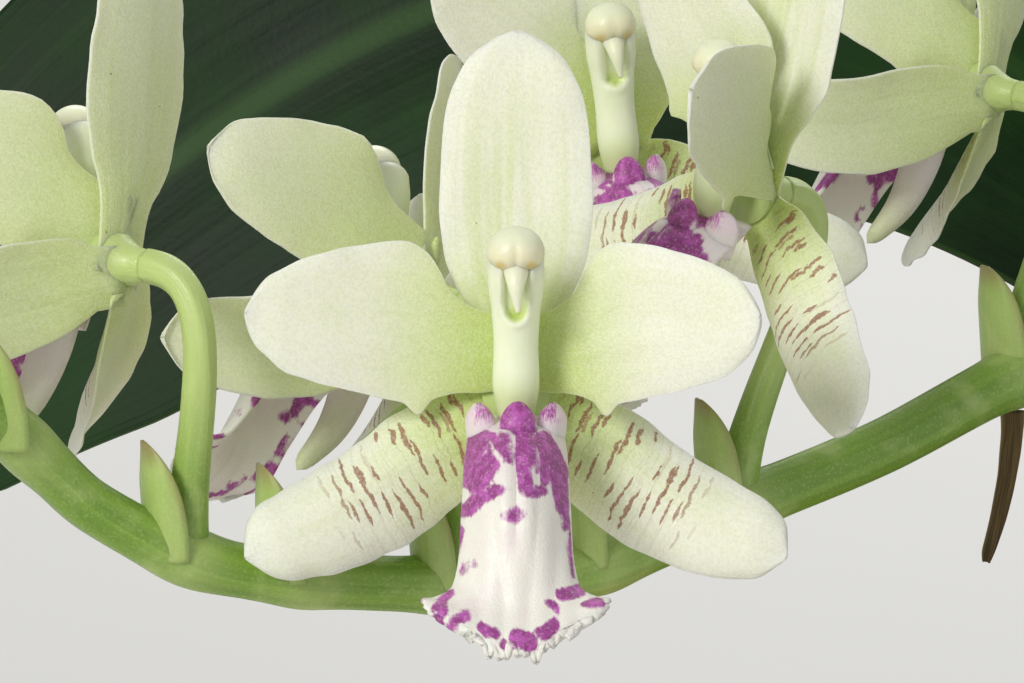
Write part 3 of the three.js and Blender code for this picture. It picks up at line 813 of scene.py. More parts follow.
@dataclass(frozen=True)
class LeafFinish:
    """Leathery dark green leaf: parallel veins, a pale midrib channel, a paler underside and a soft gloss."""

    deep: Colour = srgb(15, 35, 13)
    body: Colour = srgb(28, 56, 22)
    vein: Colour = srgb(50, 80, 36)
    under: Colour = srgb(70, 96, 48)
    scar: Colour = srgb(96, 92, 48)

    def material(self) -> bpy.types.Material:
        """Builds the material."""
        look = Look("leaf", {"Specular IOR Level": 0.16})
        run, _ = look.split(look.surface)
        across = look.across()
        upper = look.paint[3]
        lines = look.noise(look.stretched(look.surface, (0.7, 34.0, 1.0)), 1.0, 2.0, 0.5)
        cloud = look.grain(14.0, 4.0)
        colour = look.mix(look.remap(cloud, 0.35, 0.65), self.deep, self.body)
        colour = look.over(colour, self.vein, look.remap(lines, 0.52, 0.74), 0.12)
        rib = look.remap(across, 0.07, 0.01)
        colour = look.over(colour, self.vein, rib, 0.7)
        foot = look.remap(run, 0.12, 0.0)
        colour = look.over(colour, self.under, foot, 0.6)
        colour = look.mix(look.calc("SUBTRACT", 1.0, upper), colour, self.under)
        speck = look.remap(look.cells(look.object, 1 / (7 * MM)), 0.1, 0.04)
        colour = look.over(colour, self.scar, speck, 0.5)
        rim = look.remap(across, 0.965, 1.0)
        colour = look.over(colour, self.vein, rim, 0.5)
        normal = look.bump(look.remap(lines, 0.35, 0.65), 0.03)
        normal = look.bump(look.grain(0.5, 2.0), 0.03, normal)
        return look.done(colour, look.remap(cloud, 0.3, 0.7, 0.5, 0.62), normal)


@dataclass(frozen=True)
class RootFinish:
    """Silvery velamen over green, with fine cracks and a green growing tip that paint marks."""

    silver: Colour = srgb(186, 190, 168)
    shade: Colour = srgb(128, 136, 104)
    tip: Colour = srgb(126, 158, 64)
    brown: Colour = srgb(120, 98, 66)

    def material(self) -> bpy.types.Material:
        """Builds the material."""
        look = Look("velamen", {"Specular IOR Level": 0.3})
        growing, buried, _, _ = look.paint
        fine = look.noise(look.stretched(look.surface, (60.0, 9.0, 1.0)), 1.0, 3.0, 0.65)
        colour = look.mix(look.remap(fine, 0.36, 0.64), self.shade, self.silver)
        colour = look.over(colour, self.shade, look.remap(look.grain(5.0, 4.0), 0.5, 0.72), 0.55)
        colour = look.over(colour, self.brown, buried, 0.6)
        colour = look.mix(growing, colour, self.tip)
        normal = look.bump(fine, 0.14)
        normal = look.bump(look.grain(0.35, 3.0), 0.06, normal)
        return look.done(colour, look.remap(fine, 0.3, 0.7, 0.85, 0.7), normal)


@dataclass(frozen=True)
class BarkFinish:
    """Broken pine bark: layered red-browns with paler breaks, each chip in a tone of its own."""

    dark: Colour = srgb(58, 38, 26)
    body: Colour = srgb(108, 72, 46)
    light: Colour = srgb(158, 116, 78)

    def material(self) -> bpy.types.Material:
        """Builds the material."""
        look = Look("bark", {"Specular IOR Level": 0.25})
        tone, layer, _, _ = look.paint
        rough = look.grain(2.2, 5.0, 0.65)
        bands = look.calc("SINE", look.calc("MULTIPLY_ADD", rough, 9.0, look.calc("MULTIPLY", layer, 26.0)))
        colour = look.mix(look.remap(bands, -0.7, 0.8), self.dark, self.body)
        colour = look.over(colour, self.light, look.remap(rough, 0.52, 0.7), 0.7)
        colour = look.over(colour, self.dark, tone, 0.55)
        normal = look.bump(look.remap(bands, -1.0, 1.0), 0.28)
        normal = look.bump(rough, 0.7, normal)
        return look.done(colour, look.remap(rough, 0.3, 0.7, 0.95, 0.8), normal)


@dataclass(frozen=True)
class MossFinish:
    """Low green moss with lighter tips."""

    deep: Colour = srgb(54, 72, 26)
    tip: Colour = srgb(132, 150, 62)

    def material(self) -> bpy.types.Material:
        """Builds the material."""
        look = Look("moss", {"Specular IOR Level": 0.2, "Roughness": 0.9})
        height, _, _, _ = look.paint
        share = look.calc(
            "MULTIPLY_ADD", look.grain(1.6, 3.0), 0.8, look.calc("MULTIPLY_ADD", height, 0.7, -0.4)
        )
        colour = look.mix(look.remap(share, 0.1, 0.8), self.deep, self.tip)
        return look.done(colour, None, look.bump(look.grain(0.5, 3.0), 0.3))


@dataclass(frozen=True)
class ClayFinish:
    """Unglazed fired clay: turning rings, sand grains, white lime bloom and a little green where it is damp."""

    body: Colour = srgb(186, 106, 68)
    dark: Colour = srgb(146, 76, 48)
    bloom: Colour = srgb(214, 190, 168)
    damp: Colour = srgb(118, 104, 62)

    def material(self) -> bpy.types.Material:
        """Builds the material."""
        look = Look("terracotta", {"Specular IOR Level": 0.25})
        parts = look.add("SeparateXYZ", {0: look.object})
        height = look.calc("MULTIPLY", parts.outputs[2], 1 / MM)
        cloud = look.grain(26.0, 5.0, 0.6)
        colour = look.mix(look.remap(cloud, 0.35, 0.66), self.dark, self.body)
        rings = look.noise(look.stretched(look.object, (40.0, 40.0, 1500.0)), 1.0, 2.0, 0.6)
        colour = look.over(colour, self.dark, look.remap(rings, 0.5, 0.7), 0.3)
        crust = look.remap(look.grain(17.0, 6.0, 0.68), 0.5, 0.66)
        band = look.calc("MAXIMUM", look.remap(height, 30.0, 4.0), look.remap(height, 60.0, 74.0, 0.0, 0.75))
        colour = look.over(colour, self.bloom, crust, look.calc("MULTIPLY_ADD", band, 0.6, 0.12))
        green = look.calc(
            "MULTIPLY", look.remap(look.grain(21.0, 4.0), 0.52, 0.66), look.remap(height, 26.0, 2.0, 0.0, 0.5)
        )
        colour = look.mix(green, colour, self.damp)
        sand = look.grain(0.7, 3.0, 0.6)
        colour = look.over(colour, self.bloom, look.remap(sand, 0.6, 0.72), 0.35)
        normal = look.bump(rings, 0.25)
        normal = look.bump(sand, 0.16, normal)
        return look.done(colour, look.remap(crust, 0.0, 1.0, 0.82, 0.95), normal)


@dataclass(frozen=True)
class PaperFinish:
    """Dry brown bract: thin, veined and a little see-through at its edges."""

    body: Colour = srgb(112, 92, 56)
    vein: Colour = srgb(66, 56, 36)
    edge: Colour = srgb(164, 142, 98)

    def material(self) -> bpy.types.Material:
        """Builds the material."""
        look = Look(
            "dry_bract", {"Subsurface Weight": 0.15, "Subsurface Scale": 0.5 * MM, "Specular IOR Level": 0.3}
        )
        lines = look.noise(look.stretched(look.surface, (1.5, 22.0, 1.0)), 1.0, 3.0, 0.6)
        colour = look.mix(look.remap(lines, 0.36, 0.6), self.vein, self.body)
        colour = look.over(colour, self.edge, look.remap(look.across(), 0.6, 1.0), 0.6)
        return look.done(colour, look.remap(lines, 0.3, 0.7, 0.9, 0.7), look.bump(lines, 0.12))


@dataclass(frozen=True)
class FloorFinish:
    """Plain pale floor."""

    body: Colour = srgb(226, 225, 221)
    shade: Colour = srgb(221, 220, 216)

    def material(self) -> bpy.types.Material:
        """Builds the material."""
        look = Look("floor", {"Roughness": 0.9, "Specular IOR Level": 0.1})
        return look.done(look.mix(look.noise(look.object, 3.0, 2.0), self.body, self.shade))


# Flower

TEPAL_THICKNESS = 0.62
DORSAL_FOLD_SHARE = 0.25
TWIST_END = 0.15
TEPAL_ANCHOR = 1.3
HUB = Line(((0, 0.1, 0), (0, 0.7, 0), (0, 1.3, 0), (0, 2.0, 0), (0, 2.8, 0)))
HUB_RADII = (1.75, 1.65, 1.25, 0.95, 0.84)
PEDICEL_SEAT = 2.75
PEDICEL_RISE = 0.35
PEDICEL_BEND = 0.4


@dataclass(frozen=True)
class Pose:
    """How a tepal is bent from the flower's plane, in degrees: folded forward, lifted at its tip, twisted."""

    fold: float = 0.0
    lift: float = 0.0
    twist: float = 0.0


@dataclass(frozen=True)
class Detail:
    """How fine a flower's surfaces are: rows and columns of a tepal and of the lip, and sides of the column."""

    tepal: tuple[int, int] = (34, 20)
    lip: tuple[int, int] = (48, 36)
    sides: int = 20


@dataclass(frozen=True)
class Tepal:
    """A tepal's outline and bearing; a row of the outline is share of length, upper and lower half-width."""

    kind: TepalKind
    base: tuple[float, float, float]
    angle: float
    length: float
    forward: tuple[float, float]
    cup: float
    tip: float
    outline: tuple[tuple[float, float, float], ...]

    def grid(self, side: int, pose: Pose, size: tuple[int, int], seed: int) -> tuple[Array, Array]:
        """Works out the blade.

        A point is base + run * lengthwise + reach * crosswise + forward * outwards. The outline gives reach at
        each share u of the length, and forward is (slope + curl * u) * u + cup * v * v * sin(pi * u), with small
        ripples that grow towards the edges.

        Args:
            side: 1 on the flower's right, -1 on its left.
            pose: How it is bent.
            size: Rows and columns.
            seed: Which random ripples.

        Returns:
            The grid's points, and the thickness at each.
        """
        rows, columns = size
        step = (1 - (1 - np.linspace(0, 1, rows)) ** 1.5)[:, None]
        v = np.sin(np.linspace(-0.5, 0.5, columns) * math.pi * 0.92)[None, :] / math.sin(0.46 * math.pi)
        run = step * (self.length + TEPAL_ANCHOR) - TEPAL_ANCHOR
        u = np.maximum(0, run / self.length)
        table = np.array(self.outline)
        upper, lower = smooth_rows(table, u, 1), smooth_rows(table, u, 2)
        random = np.random.default_rng(seed)
        wobble = ripple(np.stack([u * 9, 0 * u, 0 * u], -1), 1.2, seed) * 0.05
        narrow = rounded(u, self.tip)
        reach = (upper - lower) / 2 + v * ((upper + lower) / 2 + wobble) * narrow
        slope, curl = self.forward
        place = joined(run, reach, 0.0)
        wave = ripple(place, 7.0, seed + 1) * 0.12 + ripple(place, 2.6, seed + 2) * 0.1 * v**4
        bulge = (slope + curl * u) * u + self.cup * v * v * np.sin(math.pi * u)
        forward = bulge + (wave - 0.25 * random.uniform(0.6, 1.2) * v**6 * u) * smooth_step(u, 0.05, 0.4)
        fold, angle = math.radians(pose.fold), math.radians(self.angle + pose.lift)
        lengthwise = np.array(
            [math.cos(angle) * math.cos(fold), -math.sin(fold), math.sin(angle) * math.cos(fold)]
        )
        plain = np.array([-math.sin(angle), 0, math.cos(angle)])
        twist = (math.radians(pose.twist) * np.minimum(1, u / TWIST_END))[..., None]
        crosswise = np.cos(twist) * plain + np.sin(twist) * np.cross(lengthwise, plain)
        outwards = np.cross(lengthwise, crosswise)
        run, reach, forward = run[..., None], reach[..., None], forward[..., None]
        points = self.base + run * lengthwise + reach * crosswise + forward * outwards
        points[..., 0] *= side
        rib = 0.16 * np.exp(-((reach[..., 0] / 0.5) ** 2)) * smooth_step(u, 0.95, 0.5)
        ending = 0.25 + 0.75 * smooth_step(u, 1.0, 0.86)
        return points, TEPAL_THICKNESS * (0.18 + 0.82 * (1 - np.abs(v) ** 3)) * ending + rib


DORSAL_SEPAL = Tepal(
    TepalKind.DORSAL, (0, 0.75, 0.4), 90, 17.7, (-0.3, 1.5), 0.5, 0.9,
    ((0, 1.7, 1.7), (0.1, 1.8, 1.8), (0.18, 2.1, 2.1), (0.27, 3, 3), (0.38, 3.7, 3.7), (0.52, 3.87, 3.87),
     (0.66, 3.77, 3.77), (0.8, 3.45, 3.45), (0.93, 2.4, 2.4), (1, 1.6, 1.6)),
)
LATERAL_SEPAL = Tepal(
    TepalKind.LATERAL, (1, 0.75, -1.5), -26.8, 14.4, (0.3, 0.9), -0.9, 0.93,
    ((0, 2.0, 1.3), (0.13, 2.6, 2.3), (0.29, 2.6, 3.1), (0.5, 2, 3.6), (0.7, 1.75, 3.4), (0.85, 1.6, 2.8),
     (0.95, 1.0, 2.0), (1, 0.3, 1.3)),
)
PETAL = Tepal(
    TepalKind.PETAL, (1, -0.1, 1.6), 8.9, 12.75, (0.9, 1.5), 0.35, 0.92,
    ((0, 2.1, 1.7), (0.12, 2.4, 2.0), (0.22, 3, 2.5), (0.27, 3.9, 3.4), (0.34, 4.8, 2.9), (0.42, 5.15, 2.85),
     (0.6, 4.6, 2.7), (0.8, 3.5, 2.3), (0.94, 2.3, 1.3), (1, 1.5, 0.8)),
)


@dataclass(frozen=True)
class Column:
    """The column: a pillar that leans forward, with a stigma hollow, an anther cap and a pointed rostellum."""

    path: Line = Line(
        ((0, -2.1, -1.3), (0, -2.35, 0.2), (0, -2.6, 2.4), (0, -3.1, 4.6), (0, -3.7, 6.3), (0, -3.95, 7.4))
    )
    radii: tuple[float, ...] = (0.9, 1.18, 1.12, 1.22, 1.42, 1.34)
    cap_centre: tuple[float, float, float] = (0, -4.35, 6.9)
    cap_radii: tuple[float, float, float] = (1.42, 1.4, 1.3)
    beak: Line = Line(((0, -4.7, 6.0), (0, -5.25, 5.2), (0.1, -5.2, 3.9)))
    beak_radii: tuple[float, ...] = (0.66, 0.38, 0.1)
    hollow: tuple[float, float] = (4.6, 1.3)

    def build(self, shell: Shell, sides: int) -> None:
        """Adds the column's surfaces: a tube dented in front at the stigma, a grooved ball and a thin cone.

        Args:
            shell: Where they go.
            sides: Points round the pillar.
        """
        share = np.linspace(0, 1, 3 * sides)
        radii = by_share(self.radii, share) * rounded(share, 0.9)
        rings = ring_tube(self.path.along(share), radii, sides)
        front = np.clip(-(rings[..., 1] - rings[..., 1].mean(axis=1, keepdims=True)) / 1.1, 0, 1)
        middle, reach = self.hollow
        oval = np.hypot(rings[..., 0] / 0.74, np.minimum(0, rings[..., 2] - middle) / reach)
        dent = smooth_step(oval, 1.0, 0.72) * front
        rim = np.exp(-(((oval - 1.1) / 0.14) ** 2)) * front * smooth_step(rings[..., 2], 6.3, 5.6)
        rings[..., 1] += 0.55 * dent - 0.1 * rim
        foot = smooth_step(rings[..., 2], 1.2, -0.6) * 0.6
        nothing = np.zeros_like(foot)
        deep = dent * (0.35 + 0.65 * smooth_step(rings[..., 2], 4.6, 3.6))
        shell.tube(rings, np.stack([nothing, nothing, deep, foot], -1))
        orb = ball(sides, 2 * sides)
        faced = orb[..., 1] < 0
        groove = np.exp(-((orb[..., 0] / 0.13) ** 2)) * smooth_step(orb[..., 2], 0.75, -0.3) * faced
        cheeks = np.exp(-((np.abs(orb[..., 0]) - 0.5) ** 2 + (orb[..., 2] + 0.1) ** 2) / 0.2) * faced
        narrow = 1 - 0.12 * smooth_step(orb[..., 2], -0.2, -0.9)
        orb = orb * ((1 - 0.07 * groove + 0.05 * cheeks) * narrow)[..., None]
        cap = np.array(self.cap_centre) + orb * self.cap_radii
        spots = np.hypot((np.abs(cap[..., 0]) - 0.8) / 0.34, (cap[..., 2] - 6.15) / 0.3)
        pollen = smooth_step(spots, 1.3, 0.35) * (orb[..., 1] < 0)
        whole = 0.15 + 0.85 * smooth_step(orb[..., 2], 0.7, -0.35)
        poles = np.array(self.cap_centre) + np.array([[0, 0, -0.83], [0, 0, 1]]) * self.cap_radii
        shell.tube(cap, np.stack([whole, pollen, 0 * whole, 0 * whole], -1), poles=poles)
        share = np.linspace(0, 1, sides)
        beak = ring_tube(self.beak.along(share), by_share(self.beak_radii, share), max(10, sides // 2))
        shell.tube(beak, np.full((*beak.shape[:2], 4), [0.25, 0, 0, 0]))


@dataclass(frozen=True)
class Mark:
    """A purple stroke on the lip, in the flower's own front view: its two ends, its radius and its strength."""

    x0: float
    z0: float
    x1: float
    z1: float
    radius: float
    strength: float = 1.0

    def cover(self, x: Array, z: Array) -> Array:
        """Gives how much the stroke covers each place: 1 inside, falling to 0 just outside its edge.

        Args:
            x: Places to the right.
            z: Places up.

        Returns:
            The cover from 0 to its strength.
        """
        right, up = self.x1 - self.x0, self.z1 - self.z0
        share = ((x - self.x0) * right + (z - self.z0) * up) / max(right**2 + up**2, 1e-6)
        share = np.clip(share, 0, 1)
        distance = np.hypot(x - self.x0 - share * right, z - self.z0 - share * up)
        return self.strength * smooth_step(distance - self.radius, 0.2, -0.2)


LIP_MARKS = (
    Mark(0.13, -0.7, 0.22, -2.1, 0.62),
    Mark(0.22, -2.1, 0.32, -3.6, 0.44, 0.95),
    Mark(0.32, -3.6, 0.36, -4.9, 0.26, 0.9),
    Mark(-1.75, -2.7, -2.25, -4.35, 0.6),
    Mark(-1.1, -3.8, -1.75, -4.6, 0.52),
    Mark(-1.6, -2.35, -0.6, -2.9, 0.24),
    Mark(-0.55, -2.6, -0.35, -3.6, 0.18, 0.85),
    Mark(-1.15, -3.0, -0.85, -4.0, 0.16, 0.8),
    Mark(0.72, -3.0, 0.86, -4.2, 0.15, 0.8),
    Mark(1.3, -2.5, 1.5, -3.1, 0.26, 0.9),
    Mark(-2.5, -5.95, -0.75, -4.95, 0.34),
    Mark(-0.05, -6.05, -0.03, -6.1, 0.42, 0.85),
    Mark(1.25, -2.75, 1.95, -4.0, 0.58),
    Mark(1.75, -4.2, 2.15, -5.6, 0.5),
    Mark(2.2, -5.6, 2.25, -6.7, 0.26),
    Mark(0.95, -2.5, 1.2, -4.6, 0.22),
    Mark(0.5, -5.15, 1.05, -5.0, 0.28, 0.9),
    Mark(2.45, -7.0, 2.8, -9.1, 0.14, 0.9),
    Mark(-2.6, -6.9, -3.05, -8.4, 0.26),
    Mark(-2.5, -8.85, -1.95, -8.4, 0.34, 0.5),
    Mark(-4.65, -9.85, -3.75, -9.3, 0.3),
    Mark(-3.9, -10.55, -3.1, -9.95, 0.26),
    Mark(-3.75, -11.1, -3.65, -10.9, 0.3),
    Mark(-2.95, -11.35, -2.5, -11.1, 0.3, 0.85),
    Mark(-1.65, -11.65, -1.2, -11.8, 0.3),
    Mark(-0.72, -12.35, -0.6, -12.4, 0.24),
    Mark(0.07, -12.1, 0.63, -12.25, 0.38),
    Mark(1.3, -11.9, 1.85, -11.45, 0.34),
    Mark(1.55, -10.55, 1.98, -10.8, 0.26, 0.8),
    Mark(2.3, -10.0, 3.1, -9.8, 0.38),
    Mark(3.45, -10.6, 4.0, -10.35, 0.2),
)


@dataclass(frozen=True)
class Lip:
    """The lip: an arched blade that flares at its fringed end, a callus, two side ears and a spur behind it."""

    profile: tuple[tuple[float, float], ...] = (
        (-2.0, -1.5), (-5.2, -2.6), (-7.4, -5.4), (-8.0, -8.2), (-8.4, -10.4), (-9.3, -11.8), (-10.1, -12.8),
    )
    half_widths: tuple[tuple[float, float], ...] = (
        (0, 1.5), (0.167, 2.4), (0.333, 2.6), (0.5, 2.75), (0.6, 3.05), (0.67, 3.7), (0.74, 4.45), (0.8, 4.6),
        (0.86, 4.25), (0.91, 3.5), (0.95, 3.2), (1, 2.9),
    )
    lift: tuple[tuple[float, float], ...] = (
        (0, 0), (0.6, 0.1), (0.7, 0.6), (0.8, 1.3), (0.9, 1.25), (1, 1.35)
    )
    arch: tuple[float, ...] = (1.6, 2.6, 2.4, 1.8, 1.1, 0.5, 0.2)
    thickness: float = 0.7
    ear_foot: tuple[float, float, float] = (1.62, -3.0, -3.1)
    ear_height: float = 2.45
    ear_half_width: float = 0.72
    spur: Line = Line(((0, -2.5, -2.0), (0, -2.2, -4.8), (0, -2.6, -7.6), (0, -4.0, -10.2)))
    spur_radii: tuple[float, ...] = (1.4, 1.15, 0.85, 0.4)

    def marks(self, points: Array, seed: int, mirrored: bool) -> Array:
        """Paints the purple marks: the strongest cover of any stroke, with the places stirred a little.

        Args:
            points: Places on the lip.
            seed: Which stirring.
            mirrored: Whether left and right are swapped.

        Returns:
            The cover from 0 to 1.
        """
        stir = 0.0 if seed == 0 else 0.35
        x = points[..., 0] * (-1 if mirrored else 1) + (0.12 + stir) * ripple(points, 1.6, 40 + seed)
        z = points[..., 2] + (0.12 + stir) * ripple(points, 1.9, 70 + seed)
        return np.max([mark.cover(x, z) for mark in LIP_MARKS], axis=0)

    def blade(self, size: tuple[int, int], seed: int) -> tuple[Array, Array]:
        """Works out the blade.

        A point at u along and v across is (v * half-width, profile y + arch * v * v, profile z + lift * v * v),
        with keels down its middle, ruffles that grow towards its end and an uneven fringe there.

        Args:
            size: Rows and columns.
            seed: Which random ruffles.

        Returns:
            The grid's points, and the thickness at each.
        """
        rows, columns = size
        u = (1 - (1 - np.linspace(0, 1, rows)) ** 1.25)[:, None]
        v = np.linspace(-1, 1, columns)[None, :]
        middle = Line(tuple((0.0, y, z) for y, z in self.profile)).at_steps(u[:, 0])[:, None]
        wide = smooth_rows(np.array(self.half_widths), u)
        arch = by_share(self.arch, u)
        flare = smooth_step(u, 0.62, 1.0)
        spots = joined(u * 4, v * 6, 0.0)
        ruffle = 0.34 * flare * np.abs(v) ** 1.5 * np.sin(9 * v + 2.0 * ripple(spots, 3.0, seed))
        end = smooth_step(u, 0.9, 1.0)
        fringe = end * (
            0.2 * np.cos(3 * math.pi * (v + 1)) + 0.16 * np.sin(23 * v + seed) + 0.13 * np.sin(41 * v + 1)
        )
        side_teeth = 1 + flare * np.abs(v) ** 8 * (0.035 * np.sin(60 * u + seed) + 0.025 * np.sin(131 * u))
        x = v * wide * side_teeth
        keel = np.exp(-(((np.abs(x) - 0.5) / 0.26) ** 2)) - 0.3 * np.exp(-((x / 0.2) ** 2))
        keel = 0.2 * keel * smooth_step(u, 0.02, 0.15) * smooth_step(u, 0.62, 0.3)
        furrow = 0.05 * np.cos(x * 5.2) * smooth_step(u, 0.3, 0.5)
        y = middle[..., 1] + arch * v * v - keel - furrow - ruffle + 0.5 * flare * np.abs(v) ** 3
        z = middle[..., 2] + smooth_rows(np.array(self.lift), u) * v * v - fringe
        points = joined(x, y, z)
        thickness = self.thickness * (0.3 + 0.7 * (1 - np.abs(v) ** 4)) * (0.4 + 0.6 * smooth_step(u, 1.0, 0.85))
        return points, thickness + 0 * points[..., 0]

    def build(self, shell: Shell, size: tuple[int, int], seed: int, mirrored: bool) -> None:
        """Adds the lip's surfaces.

        Args:
            shell: Where they go.
            size: Rows and columns of its blade.
            seed: Which random ruffles and stirring.
            mirrored: Whether its marks are swapped left to right.
        """
        points, thickness = self.blade(size, seed)
        mark = self.marks(points, seed, mirrored)
        root = smooth_step(points[..., 2], -6.4, -1.5) * 0.8
        shell.blade(points, thickness, np.stack([mark, root * 0.6, 0 * mark], -1))
        for side in (1, -1):
            shell.blade(*self.ear(side, max(10, size[0] // 4)))
        orb = ball(size[1] // 2, size[1])
        shoulder = orb * [1.75, 1.0, 0.95] + [0, -3.0, -2.6]
        band = self.marks(shoulder, seed, mirrored) * (orb[..., 1] < 0)
        shell.tube(shoulder, np.stack([band, 0.3 + 0 * band, 0 * band, 0 * band], -1))
        lean = 1 - 0.1 * smooth_step(orb[..., 2], 0.0, 1.0)
        callus = orb * joined(lean, lean, 1.0) * [0.95, 0.74, 1.35] + [0.08, -4.12, -1.85]
        band = smooth_step(np.abs(callus[..., 0] - 0.1), 1.1, 0.7) * smooth_step(callus[..., 1], -3.4, -3.9)
        shell.tube(callus, np.stack([band, 0.4 + 0 * band, 0 * band, 0 * band], -1))
        share = np.linspace(0, 1, size[0] // 2)
        radii = by_share(self.spur_radii, share) * rounded(share, 0.9)
        spur = ring_tube(self.spur.along(share), radii, max(12, size[1] // 3))
        tint = np.zeros((*spur.shape[:2], 4))
        tint[..., 1] = 0.5
        tint[..., 2] = smooth_step(share, 0.3, 1.0)[:, None] * 0.7
        shell.tube(spur, tint)

    def ear(self, side: int, rows: int) -> tuple[Array, Array, Array]:
        """Works out a side ear: a small upright blade with a rounded top, purple at its rim.

        Args:
            side: 1 on the flower's right, -1 on its left.
            rows: Rows and columns.

        Returns:
            The grid's points, the thickness at each, and the paint.
        """
        u = (1 - (1 - np.linspace(0, 1, rows)) ** 1.4)[:, None]
        v = np.linspace(-1, 1, rows)[None, :]
        x, y, z = self.ear_foot
        wide = self.ear_half_width * (1 + 0.15 * np.sin(math.pi * u)) * rounded(u, 0.6)
        outwards, back = x + 0.25 * u + 0.8 * v * wide, y + 0.6 * v * wide + 0.45 * v * v - 0.35 * u
        points = joined(side * outwards, back, z + u * self.ear_height)
        thickness = TEPAL_THICKNESS * (0.45 + 0.55 * (1 - v**2)) * (0.4 + 0.6 * smooth_step(u, 1.0, 0.7))
        rim = smooth_step(u, 0.4, 0.85) * smooth_step(-v, -0.9, 0.3) * 0.62
        return points, thickness, np.stack([rim, 0.25 + 0.6 * smooth_step(u, 0.2, 0.9) + 0 * v, 0 * rim], -1)


@dataclass(frozen=True)
class Flower:
    """One flower: where its tepals meet, how it is turned in degrees, and where its pedicel leaves the stalk."""

    number: int
    at: tuple[float, float, float]
    turn: float
    tilt: float
    roll: float
    fold: float
    node: tuple[float, float, float]
    leaves: tuple[float, float, float] = (0, 0, 1)
    right_petal: Pose | None = None
    left_petal: Pose | None = None
    dorsal: Pose | None = None
    detail: Detail = Detail()

    @property
    def seat(self) -> Seat:
        """Gives the flower's place, turned about +Z, then tilted about +X, then rolled about the facing axis."""
        angles = {"Z": self.turn, "X": self.tilt, "Y": self.roll}
        turn, tilt, roll = (Matrix.Rotation(math.radians(angle), 3, axis) for axis, angle in angles.items())
        return Seat(np.array(turn @ tilt @ roll), np.array(self.at, float))

    def tepals(self) -> list[tuple[Tepal, int, Pose]]:
        """Lists the five tepals with their sides and poses.

        Returns:
            Tepal, side and pose of each.
        """
        even = Pose(self.fold)
        return [
            (DORSAL_SEPAL, 1, self.dorsal or Pose(DORSAL_FOLD_SHARE * self.fold)),
            (LATERAL_SEPAL, 1, even),
            (LATERAL_SEPAL, -1, even),
            (PETAL, 1, self.right_petal or even),
            (PETAL, -1, self.left_petal or even),
        ]

    def build(self, looks: dict[str, bpy.types.Material]) -> None:
        """Makes the flower's three pieces.

        Args:
            looks: The finishes by name.
        """
        name = f"flower_{self.number}"
        kinds = [TepalKind.DORSAL, TepalKind.LATERAL, TepalKind.PETAL]
        worn = [looks[f"tepal_{kind.value}"] for kind in kinds]
        perianth = Shell(f"{name}_tepals", [*worn, looks["stalk"]], self.seat)
        for i, (tepal, side, pose) in enumerate(self.tepals()):
            grid, thickness = tepal.grid(side, pose, self.detail.tepal, 10 * self.number + i)
            perianth.blade(grid, thickness, finish=kinds.index(tepal.kind), front=side)
        share = np.linspace(0, 1, 14)
        rings = ring_tube(HUB.along(share), by_share(HUB_RADII, share), 24)
        perianth.tube(rings, np.stack([0.9 + 0 * rings[..., 0]], -1), finish=3)
        perianth.piece("tepal", f"{name}_perianth")
        column = Shell(f"{name}_pillar", [looks["column"]], self.seat)
        Column().build(column, self.detail.sides)
        column.piece("column", f"{name}_column")
        lip = Shell(f"{name}_fringed_lip", [looks["lip"]], self.seat)
        seed = 0 if self.number == 4 else self.number
        Lip().build(lip, self.detail.lip, seed, self.number % 2 == 1)
        lip.piece("lip", f"{name}_lip")


FLOWERS = (
    Flower(1, (-33, -34, 135), -125, -4, -26, 32, (-31.6, -45.4, 120.2)),
    Flower(
        2, (-47.6, -59, 131.8), -48, -6, 14, 6, (-48, -57.4, 114.5),
        right_petal=Pose(52, 29, -33), left_petal=Pose(8, 46, 0), detail=Detail((56, 30), (60, 44), 26),
    ),
    Flower(
        3, (-54.3, -41, 132.3), 8, -6, -6, 4, (-55.3, -61.8, 112.3), leaves=(0, 1, 0),
        right_petal=Pose(6, 56, 0), left_petal=Pose(4, 40, 0),
    ),
    Flower(
        4, (-59.8, -72.8, 123.2), 0, -8, 0, 0, (-63.2, -66.4, 112),
        right_petal=Pose(20, 0, 0), detail=Detail((96, 52), (130, 96), 48),
    ),
    Flower(5, (-65.2, -60.5, 126.2), -116, -4, -27, 30, (-70.9, -70.3, 113.1), dorsal=Pose(14, 25, 0)),
    Flower(6, (-80.7, -69.5, 129.3), -126, 0, -24, 34, (-76.6, -72.9, 114.7)),
    Flower(7, (-98, -93, 117), -36, -4, -8, 8, (-84.2, -76.8, 121), leaves=(-0.3, 0.5, 0.5)),
)


# Raceme


@dataclass(frozen=True)
class Bud:
    """A flower bud on its short stalk."""

    at: tuple[float, float, float]
    node: tuple[float, float, float]
    size: float


